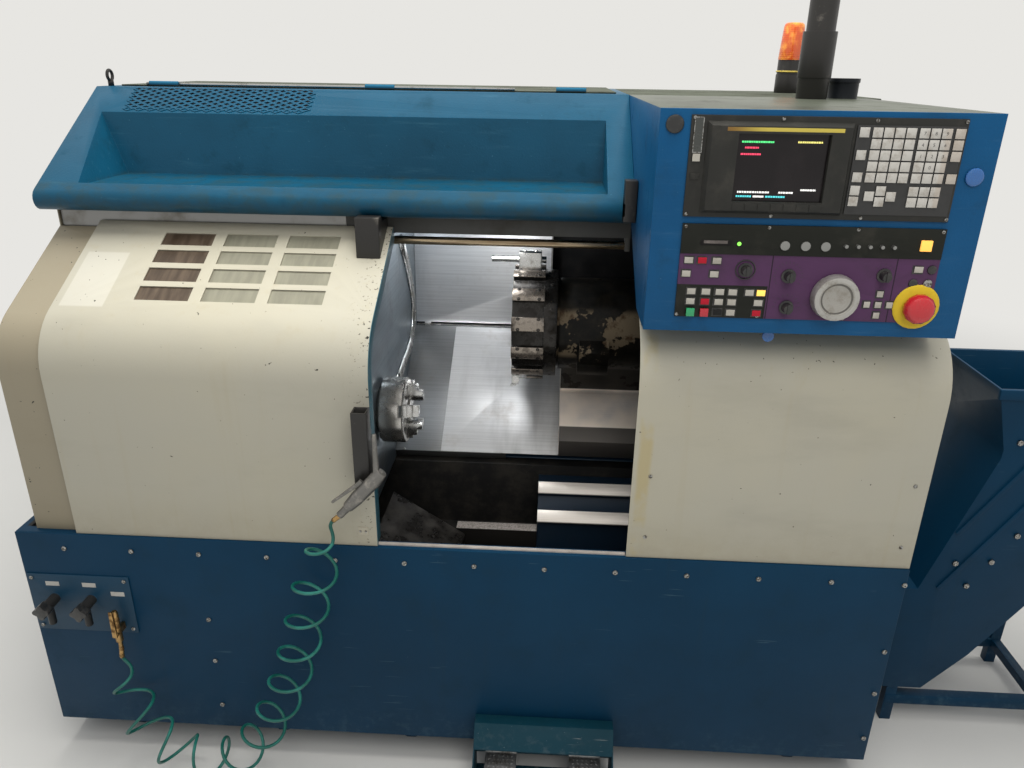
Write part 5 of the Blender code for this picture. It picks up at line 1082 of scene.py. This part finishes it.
blue_cap = glossy("cap_blue", (0.020, 0.110, 0.330), (0.040, 0.120, 0.250))
button_cap("black_cap", 1.478, 1.620, -0.030, 0.0165, 0.006, knob_plastic)
button_cap("blue_cap", 2.026, 1.537, -0.030, 0.0165, 0.005, blue_cap)
button_cap("lower_cap", 1.706, 1.213, -0.002, 0.0120, 0.004, blue_cap)
for name, x, z in (("plug_1", 1.955, 1.338), ("plug_2", 1.985, 1.365)):
    button_cap(name, x, z, panel_depth, 0.0085, 0.003, knob_plastic)
button_cap("key_lock", 1.982, 1.338, panel_depth, 0.0085, 0.004, zinc)
button_cap("green_lamp", 1.618, 1.406, bezel_depth, 0.0038, 0.002,
           glow("lamp_green", (0.25, 0.90, 0.10), 1.2))
gauge_skin = glossy("gauge_face", (0.030, 0.034, 0.030), (0.060, 0.060, 0.052))
plates("gauge_frame", [(at(1.5125, -0.0364, 1.571), at(1.5295, -0.0358, 1.6335))], zinc)
plates("gauge_face", [(at(1.5140, -0.0367, 1.5725), at(1.5280, -0.0363, 1.6320))], gauge_skin)
plates("display_key", [(at(1.5140, -0.0376, 1.5560), at(1.5275, -0.0370, 1.5695))],
       glossy("display_key", (0.420, 0.400, 0.350), (0.300, 0.280, 0.240), 0.1))


# Inside of the machine
# Brushed stainless guards close off the ways. They carry the lines of wiped-off swarf and a film of coolant.
# The left wall has a bright edge strip along its curve, riveted on, and the pan below is black with oil.


def brushed(name, colour, along=(2.5, 240.0, 240.0), smear=(9.0, 1.6, 1.6), stain=(0.10, 0.095, 0.085),
            share=0.55):
    """Brushed stainless sheet: fine lines one way, dark wiped smears the other, dried coolant in patches."""
    skin = Finish(name)
    lines = skin.noise(1.0, 5.0, 0.75, along)
    wiped = skin.patches(0.48, 0.78, 1.0, 4.0, 0.6, smear)
    film = skin.patches(0.50, 0.74, 7.0, 6.0, 0.75)
    tone = skin.blend(skin.fade(lines, 0.35, 0.70) * 0.45, colour, tuple(c * 0.62 for c in colour))
    tone = skin.blend(wiped * share, tone, stain)
    tone = skin.blend(film * 0.30, tone, (0.26, 0.20, 0.13))
    return skin, tone, 0.30 + 0.12 * lines + 0.16 * film, skin.bump(lines, 0.0002, 0.35)


skin, tone, rough, skin_bump = brushed("way_cover_steel", (0.30, 0.30, 0.30))
dressed("way_cover", skin.done(Base_Color=tone, Roughness=rough + 0.04, Metallic=0.85, Normal=skin_bump),
        0.0006)
skin, tone, rough, skin_bump = brushed("back_guard_steel", (0.90, 0.91, 0.93), share=0.18)
# Above 1.24 m the guard is painted darker.
upper_darkening = skin.fade(skin.z, 1.23, 1.25)
tone = skin.blend(upper_darkening * 0.5, tone, (0.40, 0.42, 0.40))
behind = skin.fade(skin.x, across(1.262), across(1.268))
tone = skin.blend(behind * 0.9, tone, (0.030, 0.030, 0.032))
dressed("back_guard", skin.done(Base_Color=tone, Roughness=rough, Metallic=0.75, Normal=skin_bump), 0.0006)
skin, tone, rough, skin_bump = brushed("left_wall_steel", (0.20, 0.25, 0.29), (240.0, 3.0, 240.0),
                                       (9.0, 2.5, 9.0))
dressed("inner_left_wall", skin.done(Base_Color=tone, Roughness=rough, Metallic=0.80, Normal=skin_bump),
        0.0004)
skin, tone, rough, skin_bump = brushed("apron_steel", (0.60, 0.60, 0.60))
warm = skin.fade(skin.x, across(1.2985), across(1.3005))
tone = skin.blend(warm * skin.patches(0.25, 0.55, 5.0, 4.0), tone, (0.98, 0.86, 0.74))
shade = skin.fade(skin.x, across(1.296), across(1.300))
apron_front = 1 - skin.fade(skin.y - machine_corner.y, 0.4500, 0.4520)
tone = skin.blend(apron_front * shade * 0.92, tone, (0.020, 0.020, 0.021))
dressed("carriage", skin.done(Base_Color=tone, Roughness=rough + 0.1 * apron_front, Metallic=0.2,
                              Normal=skin_bump), 0.0012)

strip_path = [(0.630, 1.258), (0.700, 1.190), (0.735, 1.146), (0.770, 1.090), (0.797, 1.035), (0.797, 0.995),
              (0.784, 0.957),
              (0.757, 0.932), (0.720, 0.913), (0.660, 0.900), (0.597, 0.893), (0.540, 0.883), (0.485, 0.875)]
strip_line = [at(0.8345, y, z) for y, z in strip_path]
strip_shape = bmesh.new()
strip_rows = []
for k, spot in enumerate(strip_line):
    run = (strip_line[min(k + 1, len(strip_line) - 1)] - strip_line[max(k - 1, 0)]).normalized()
    side = Vector((0.0, -run.z, run.y)) * 0.018
    strip_rows.append([strip_shape.verts.new(spot + side * s + Vector((out, 0.0, 0.0))) for s, out in
                       ((-1.0, 0.0), (-1.0, 0.0040), (-0.6, 0.0090), (0.6, 0.0090), (1.0, 0.0040),
                        (1.0, 0.0))])
loft(strip_shape, strip_rows)
strip_shape.faces.new(strip_rows[0][::-1])
strip_shape.faces.new(strip_rows[-1])
settled(mesh_piece("wall_strip", closed_mesh(strip_shape, "wall_strip"), ground_steel))
plates("hood_strip", [(at(0.0500, 0.3510, 1.3250), at(0.7615, 0.3550, 1.3765))], brushed_strip)
plates("guard_lip", [(at(0.8360, 0.8516, 0.9372), at(1.6000, 0.8669, 0.9384))], ground_steel)
screen_skin = Finish("screen_plate")
screen_oil = screen_skin.patches(0.45, 0.75, 6.0, 5.0, 0.7)
screen_edge = 1 - screen_skin.fade(screen_skin.x, across(1.2665), across(1.2670))
screen_tone = screen_skin.blend(screen_oil, (0.014, 0.014, 0.015), (0.032, 0.030, 0.028))
screen_tone = screen_skin.blend(screen_edge, screen_tone, (0.380, 0.370, 0.350))
screen_plate = screen_skin.done(Base_Color=screen_tone, Metallic=0.6, Roughness=0.35 + 0.2 * screen_oil)
plates("carriage_screen", [(at(1.2620, 0.8465, 0.9400), at(1.6300, 0.8490, 1.3300)),
                           (at(1.2620, 0.8000, 0.9800), at(1.2660, 0.8480, 1.3300))],
       screen_plate, "carriage")
wall_screw = screw_head(0.0040, 0.0022, 0.5)
wall_screw.transform(Matrix.Rotation(math.pi / 2, 4, "Z"))
wall_spots = [spot + Vector((0.0088, 0.0, 0.0)) for spot in strip_line[1::2]]
spread_on("wall_strip_screws", wall_screw, wall_spots)


def met_from(node, start, way):
    """Where a ray first meets a node's solid."""
    mesh = nodes[node].data
    solid = BVHTree.FromPolygons([corner.co for corner in mesh.vertices],
                                 [face.vertices for face in mesh.polygons])
    return solid.ray_cast(Vector(start), Vector(way).normalized())[0]


def met_by(node, starts, way):
    """Where the rays from all these starts meet a node's solid, without the rays that miss it."""
    return [spot for spot in (met_from(node, start, way) for start in starts) if spot is not None]


bed_rise, bed_run = 0.524, 0.8517
guard_spots = met_by("way_cover", [at(x, 0.35, 0.95) for x in (0.86, 1.00, 1.14)],
                     (0.0, bed_rise * 0.65, -bed_run))
tilted_screw = screw_head(0.0042, 0.0022, 0.5)
tilted_screw.transform(Matrix.Rotation(math.radians(-58.4), 4, "X"))
spread_on("way_cover_screws", tilted_screw, guard_spots)
skin, tone, rough, skin_bump = paint("casting_paint", (0.008, 0.034, 0.070), (0.060, 0.100, 0.120),
                                     (0.004, 0.010, 0.016), None, 0.5)
casting = skin.done(Base_Color=tone, Roughness=rough, Normal=skin_bump, Coat_Weight=0.3, Coat_Roughness=0.25)
for node in ("slant_bed", "headstock", "tailstock"):
    dressed(node, casting, 0.0016)
skin, tone, rough, skin_bump = paint("tailstock_bed_paint", (0.004, 0.012, 0.024), (0.030, 0.045, 0.060),
                                     (0.003, 0.007, 0.010), None, 0.5)
rail_top = skin.fade(bed_run * skin.z - bed_rise * (skin.y - machine_corner.y), 0.3490, 0.3500)
rail_lines = skin.noise(1.0, 4.0, 0.7, (4.0, 300.0, 300.0))
rail_tone = skin.blend(rail_lines, (0.82, 0.77, 0.70), (0.56, 0.51, 0.46))
tone = skin.blend(rail_top, tone, rail_tone)
dressed("tailstock_bed", skin.done(Base_Color=tone, Roughness=rough * (1 - 0.3 * rail_top),
                                   Metallic=rail_top * 0.35, Normal=skin_bump), 0.0014)

oiled = two_tone("oiled_plate", (0.42, 0.70), (14.0, 6.0, 0.7), (0.014, 0.013, 0.012), (0.045, 0.041, 0.036),
                 0.26, 0.3, ((120.0, 3.0), 0.0005, 0.4), Metallic=0.5)
ledge_skin = Finish("swarf_ledge")
ledge_speck = ledge_skin.patches(0.40, 0.66, 260.0, 4.0, 0.7)
ledge_top = 1.0 - (1.0 - ledge_skin.fade(ledge_skin.z, 0.5545, 0.5555)) * (1.0 - ledge_skin.within(
    ledge_skin.z, 0.4985, 0.5015, 0.0004))
ledge = ledge_skin.done(Base_Color=ledge_skin.blend(
    ledge_top, (0.014, 0.013, 0.012), ledge_skin.blend(ledge_speck, (0.360, 0.325, 0.300),
                                                       (0.130, 0.115, 0.100))),
                        Roughness=0.5, Metallic=0.4)
pan_floor = 0.4700
chute_top = [at(0.857, 0.300, 0.641), at(1.054, 0.262, 0.540), at(1.030, 0.060, 0.500),
             at(0.835, 0.060, 0.600)]
chute_shape = bmesh.new()
top_ring = [chute_shape.verts.new(spot) for spot in chute_top]
low_ring = [chute_shape.verts.new((spot.x, spot.y, pan_floor)) for spot in chute_top]
chute_shape.faces.new(top_ring)
chute_shape.faces.new(low_ring[::-1])
loft(chute_shape, (low_ring, top_ring), False)
bmesh.ops.recalc_face_normals(chute_shape, faces=chute_shape.faces[:])
bmesh.ops.bevel(chute_shape, geom=chute_shape.edges[:], offset=0.002, segments=2, affect="EDGES", profile=0.6)
settled(mesh_piece("chip_chute", closed_mesh(chute_shape, "chip_chute", outward=False), oiled))
plates("swarf_ledge", [(at(1.030, 0.2660, pan_floor), at(1.2465, 0.300, 0.556))], ledge,
       bevel=0.0015)
plates("pump_cover", [(at(1.066, 0.150, pan_floor), at(1.2465, 0.215, 0.500))], ledge,
       bevel=0.006)


# Turret
# A ground steel disc with twelve slotted stations on a dark flange. Its lands stay bright where tools are
# clamped. The drum behind it has lost its paint to coolant, down to a beige ground and rust.

turret_centre = at(0.0, 0.5648, 1.0479)


disc = Finish("turret_steel")
disc_far = disc.from_line(Y=turret_centre.y, Z=turret_centre.z)
disc_stain = disc.patches(0.45, 0.70, 36.0, 6.0, 0.7)
disc_fine = disc.noise(1.0, 3.0, 0.6, (300.0, 40.0, 40.0))
in_disc = 1 - disc.fade(disc.x, across(1.2488), across(1.2494))
land = disc.fade(disc_far, 0.1535, 0.1540) * in_disc
front_face = 1 - disc.fade(disc.x, across(1.1640), across(1.1650))
land_tone = disc.blend(disc_stain * 0.90, (0.300, 0.262, 0.225), (0.050, 0.042, 0.034))
disc_tone = disc.blend(disc_stain, (0.038, 0.036, 0.034), (0.020, 0.017, 0.014))
disc_tone = disc.blend(front_face * 0.8, disc_tone, (0.120, 0.116, 0.106))
disc_tone = disc.blend(land, disc_tone, land_tone)
dressed("turret_disc", disc.done(Base_Color=disc_tone, Metallic=0.85, Roughness=0.26 + 0.25 * disc_stain,
                                 Normal=disc.bump(disc_fine, 0.0002, 0.4)), 0.0012)
black_screw = flecked("blackened_screws", 200.0, (0.012, 0.012, 0.012), (0.05, 0.045, 0.04), 0.35, 0.6)
to_side = (0.0, math.pi / 2, 0.0)
land_screw = screw_head(0.0048, 0.0012, 0.9)
land_screw.transform(Matrix.Rotation(math.pi / 2, 4, "Z"))
for row, (along, offset) in enumerate(((1.180, 5.0), (1.180, -5.0), (1.234, 5.0), (1.234, -5.0))):
    place = Vector((across(along), turret_centre.y, turret_centre.z))
    ring_of("land_screws_%d" % (row + 1), land_screw, black_screw, place, to_side, 0.1567, 12,
            math.radians(15.0 + offset), body="turret")
place = Vector((across(1.268), turret_centre.y, turret_centre.z))
ring_of("flange_screws", land_screw, black_screw, place, to_side, 0.1480, 12, 0.0, body="turret")

drum = Finish("drum_paint")
drum_patch = drum.patches(0.530, 0.550, 9.0, 5.0, 0.62)
drum_zone = drum.within(drum.z, 1.000, 1.105, 0.02)
drum_rust = drum.patches(0.50, 0.66, 24.0, 5.0, 0.7)
drum_tone = drum.blend(drum.patches(0.4, 0.7, 30.0, 5.0, 0.7), (0.0045, 0.0045, 0.0040),
                       (0.013, 0.011, 0.008))
peeled = drum.blend(drum_rust, (0.150, 0.118, 0.078), (0.055, 0.032, 0.017))
drum_tone = drum.blend(drum_patch * drum_zone, drum_tone, peeled)
dressed("turret_housing", drum.done(Base_Color=drum_tone, Roughness=0.30 + 0.3 * drum_patch, Metallic=0.15,
                                    Specular_IOR_Level=0.15,
                                    Normal=drum.bump(1.0 - drum_patch * drum_zone, 0.0006, 0.6)), 0.0014)
dressed("boring_holder", ground_steel, 0.0010)
dressed("turning_tool", ground_steel, 0.0005)


# Chuck and tailstock
# The chuck is turned and ground steel, with three stepped jaws that slide in its face. The tailstock stands
# on its own rails behind the right cover, with a ground quill.

spindle_middle = at(0.0, 0.300, 0.885)
chuck = Finish("chuck_steel")
chuck_rings = (chuck.from_line(Y=spindle_middle.y, Z=spindle_middle.z) * 2400.0).sine()
chuck_turned = chuck.noise(1.0, 3.0, 0.6, (500.0, 12.0, 12.0))
chuck_stain = chuck.patches(0.48, 0.74, 24.0, 6.0, 0.7)
chuck_tone = chuck.blend(chuck_stain * 0.7, (0.560, 0.545, 0.520), (0.150, 0.130, 0.105))
chuck_tone = chuck.blend(chuck.fade(chuck_turned, 0.4, 0.7) * 0.4, chuck_tone, (0.300, 0.290, 0.275))
dressed("chuck_body", chuck.done(Base_Color=chuck_tone, Metallic=0.95, Roughness=0.24 + 0.22 * chuck_stain,
                                 Normal=chuck.bump(chuck_rings * 0.3 + chuck_turned, 0.0002, 0.4)), 0.0012)
face_bolt = screw_head(0.0062, 0.0010, 0.9)
face_bolt.transform(Matrix.Rotation(math.pi / 2, 4, "Z"))
for number in (1, 2, 3):
    dressed("jaw_%d" % number, ground_steel, 0.0008)
place = Vector((across(0.9052), spindle_middle.y, spindle_middle.z))
bolt_spots = [place + Vector((0.0, 0.062 * math.cos(a), 0.062 * math.sin(a))) for a in
              (math.radians(angle) for angle in (90.0, 210.0, 330.0))]
spread_on("chuck_bolts", face_bolt, bolt_spots, black_screw, "spindle", "dark_steel")
dressed("tailstock_quill", ground_steel, 0.0010)


# Chip conveyor and foot pedals
# The conveyor is folded from steel plate and bolted at its joints. The pedals are cast alloy with raised
# studs for grip, under a guard that boots have chipped.

backwards = (0.0, 1.0, 0.0)
hex_shape = bmesh.new()
bmesh.ops.create_cone(hex_shape, cap_ends=True, segments=6, radius1=0.0078, radius2=0.0078, depth=0.006)
bmesh.ops.bevel(hex_shape, geom=hex_shape.edges[:], offset=0.0006, segments=1, affect="EDGES")
bmesh.ops.transform(hex_shape, verts=hex_shape.verts[:], matrix=Matrix.Rotation(math.pi / 2, 4, "X")
                    @ Matrix.Translation((0.0, 0.0, 0.003)))
joint_spots = met_by("chip_conveyor", [at(x, -0.5, z) for x, z in (
    (2.408, 0.886), (2.466, 0.625), (2.421, 0.544), (2.375, 0.468), (2.332, 0.536), (2.234, 0.559))],
    backwards)
spread_on("conveyor_bolts", closed_mesh(hex_shape, "hex_head", outward=False), joint_spots)

skin, tone, rough, skin_bump = paint("guard_paint", (0.004, 0.034, 0.052), (0.150, 0.175, 0.180),
                                     (0.006, 0.020, 0.028), 0.02, 1.0)
dressed("pedal_guard", skin.done(Base_Color=tone, Roughness=rough, Normal=skin_bump, Specular_IOR_Level=0.2),
        0.0020)
pedal_alloy = two_tone("pedal_alloy", (0.42, 0.70), (50.0, 6.0, 0.7), (0.360, 0.365, 0.370),
                       (0.120, 0.115, 0.105), 0.34, 0.22, ((500.0,), 0.0002, 0.4), Metallic=0.8)
stud_shape = bmesh.new()
stud_rings = [[stud_shape.verts.new((wide * math.cos(a), deep * math.sin(a), z)) for a in turns(10)]
              for wide, deep, z in ((0.0052, 0.0020, 0.0), (0.0032, 0.0009, 0.0013))]
loft(stud_shape, stud_rings)
stud_shape.faces.new(stud_rings[1])
stud = closed_mesh(stud_shape, "tread_stud", outward=False)
for side in ("left", "right"):
    dressed(side + "_pedal", pedal_alloy, 0.0020)
    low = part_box(side + "_pedal")[0]
    for lean, start in ((45.0, 0), (-45.0, 1)):
        above = [(low.x + 0.011 + column * 0.0117, low.y + 0.009 + row * 0.0112, 0.16)
                 for row in range(11) for column in range(6) if (row + column) % 2 == start]
        tread_spots = met_by(side + "_pedal", above, (0.0, 0.0, -1.0))
        spread_on("%s_tread_%d" % (side, start + 1), stud, tread_spots, pedal_alloy, side + "_pedal",
                  "stainless", (0.0, 0.0, math.radians(lean)))


# Taps, valve and air gun
# Two black needle valves and a small brass ball valve stand on the service plate. The blow gun is a worn
# light alloy casting with a pressed trigger.

plate_corners = met_by("service_plate", [at(x, -0.3, z) for z in (0.536, 0.394) for x in (0.016, 0.248)],
                       backwards)
spread_on("service_plate_screws", screw_head(0.0050, 0.0028, 0.5), plate_corners)
label_metal = glossy("label_alloy", (0.430, 0.420, 0.390), (0.230, 0.210, 0.180), 0.1)
label_spots = [at(x, -0.3, z) for x, z in ((0.066, 0.521), (0.158, 0.521), (0.226, 0.498))]
for number, spot in enumerate(met_by("service_plate", label_spots, backwards)):
    low, high = spot - Vector((0.017, 0.0006, 0.006)), spot + Vector((0.017, 0.0, 0.006))
    plates("bare_plate_%d" % (number + 1), [(low, high)], label_metal)
plate_front = plate_corners[1].y
skin, tone, rough, skin_bump = paint("service_plate_paint", (0.0035, 0.036, 0.074), (0.050, 0.100, 0.135),
                                     (0.010, 0.028, 0.042), None, 0.5)
fitting = 1 - skin.fade(skin.y, plate_front - 0.0016, plate_front - 0.0010)
tone = skin.blend(fitting, tone, (0.014, 0.014, 0.014))
dressed("service_plate", skin.done(Base_Color=tone, Roughness=rough, Normal=skin_bump,
                                   Specular_IOR_Level=0.3), 0.0010)
dressed("air_valve", worn_brass, 0.0008)
dressed("valve_lever", worn_brass, 0.0005)
gun_alloy = two_tone("gun_alloy", (0.46, 0.70), (45.0, 6.0, 0.75), (0.170, 0.165, 0.155),
                     (0.330, 0.310, 0.280), 0.36, 0.2, ((260.0, 3.0), 0.0003, 0.5), Metallic=0.7)
dressed("air_gun", gun_alloy, 0.0012)
dressed("gun_trigger", gun_alloy, 0.0006)
amber_ring = glossy("amber_ring", (0.520, 0.400, 0.080), (0.330, 0.240, 0.060), 0.2)
beacon_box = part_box("beacon_base")
beacon_middle = (beacon_box[0] + beacon_box[1]) / 2
ring_line = [Vector((beacon_middle.x + 0.0352 * math.cos(a), beacon_middle.y + 0.0352 * math.sin(a),
                     beacon_box[0].z + 0.060))
             for a in (math.tau * k / 48 * 0.996 for k in range(49))]
settled(mesh_piece("beacon_ring", tube("beacon_ring", ring_line, 0.0026, 8), amber_ring))


# Rear cabinet and side screws
# The electrical cabinet is a folded steel box with two doors. Its louvres are pressed out of the sheet, its
# quarter-turn latches are zinc castings, and the side covers are held by pan head screws.

cabinet_low, cabinet_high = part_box("rear_cabinet")
cabinet_middle = (cabinet_low.x + cabinet_high.x) / 2
louvre_shape = bmesh.new()
louvre_half, louvre_drop, louvre_out = 0.052, 0.013, 0.0065
louvre_rows = []
for share, out in ((0.0, 0.0), (0.25, 0.55), (0.60, 0.90), (0.85, 1.0), (1.0, 0.92)):
    bow = 1.0 - 0.10 * out
    louvre_rows.append([
        louvre_shape.verts.new((x * bow, out * louvre_out * (1.0 if abs(x) < louvre_half else 0.35),
                                -share * louvre_drop))
        for x in (-louvre_half, -louvre_half * 0.92, 0.0, louvre_half * 0.92, louvre_half)])
back_row = [louvre_shape.verts.new((corner.co.x, -0.0005, -louvre_drop)) for corner in louvre_rows[-1]]
for low, high in zip(louvre_rows + [louvre_rows[-1]], louvre_rows[1:] + [back_row]):
    for k in range(4):
        louvre_shape.faces.new((low[k], high[k], high[k + 1], low[k + 1])).smooth = low is not high
for k in (0, 4):
    louvre_shape.faces.new([row[k] for row in louvre_rows] + [back_row[k]])
louvre_shape.faces.new(louvre_rows[0] + back_row[::-1])
louvre = closed_mesh(louvre_shape, "louvre")
louvre_apart, louvre_step, latch_apart = 0.72, 0.024, 0.25
louvre_spots = [Vector((x, cabinet_high.y, z))
                for x in (cabinet_middle - louvre_apart, cabinet_middle, cabinet_middle + louvre_apart)
                for z in (cabinet_high.z - 0.16 - louvre_step * row for row in range(9))]
spread_on("cabinet_louvres", louvre, louvre_spots, base_blue, "root", "base_blue")
latch_shape = bmesh.new()
bmesh.ops.create_cone(latch_shape, cap_ends=True, segments=24, radius1=0.017, radius2=0.015, depth=0.006)
bmesh.ops.transform(latch_shape, verts=latch_shape.verts[:], matrix=Matrix.Rotation(-math.pi / 2, 4, "X")
                    @ Matrix.Translation((0.0, 0.0, 0.003)))
latch_bar = bmesh.ops.create_cube(latch_shape, size=1.0)["verts"]
bmesh.ops.transform(latch_shape, verts=latch_bar, matrix=Matrix.Translation((0.0, 0.0075, 0.0))
                    @ Matrix.Diagonal((0.006, 0.004, 0.026, 1.0)))
latch = closed_mesh(latch_shape, "cabinet_latch", outward=False)
latch_spots = [Vector((x, cabinet_high.y, z))
               for x in (cabinet_middle - latch_apart, cabinet_middle + latch_apart)
               for z in (0.34, 0.86, 1.40)]
spread_on("cabinet_latches", latch, latch_spots)
rear_screw = screw_head(0.0060, 0.0036, 0.5)
rear_screw.transform(Matrix.Rotation(math.pi, 4, "Z"))
rear_spots = [Vector((x, cabinet_high.y, z)) for x in (cabinet_low.x + 0.03, cabinet_high.x - 0.03)
              for z in (0.16, 0.50, 0.86, 1.22, 1.56)]
spread_on("cabinet_screws", rear_screw, rear_spots)
for name, node, way in (("left", "left_cover", 1.0), ("right", "right_cover", -1.0)):
    side_screw = screw_head(0.0055, 0.0034, 0.5)
    side_screw.transform(Matrix.Rotation(-way * math.pi / 2, 4, "Z"))
    outside = machine_corner.x + (-0.5 if way > 0 else 3.5)
    starts = [(outside, machine_corner.y + y, z) for y in (0.16, 0.50, 0.84, 1.18)
              for z in (0.690, 1.350 if y > 0.4 else 1.05)]
    side_spots = met_by(node, starts, (way, 0.0, 0.0))
    spread_on(name + "_side_screws", side_screw, side_spots)
tab_spot = met_from("door", at(0.846, -0.4, 0.704), backwards)
plates("door_tab", [(tab_spot + Vector((-0.012, -0.0016, -0.011)),
                     tab_spot + Vector((0.012, 0.0004, 0.011)))],
       glossy("door_tab_cream", (0.400, 0.370, 0.290), (0.250, 0.215, 0.150), 0.1), "door",
       0.0004)
spread_on("door_tab_screws", screw_head(0.0030, 0.0018, 0.5),
          [tab_spot + Vector((x, -0.0016, 0.0)) for x in (-0.0065, 0.0065)], zinc, "door", "bright_steel")
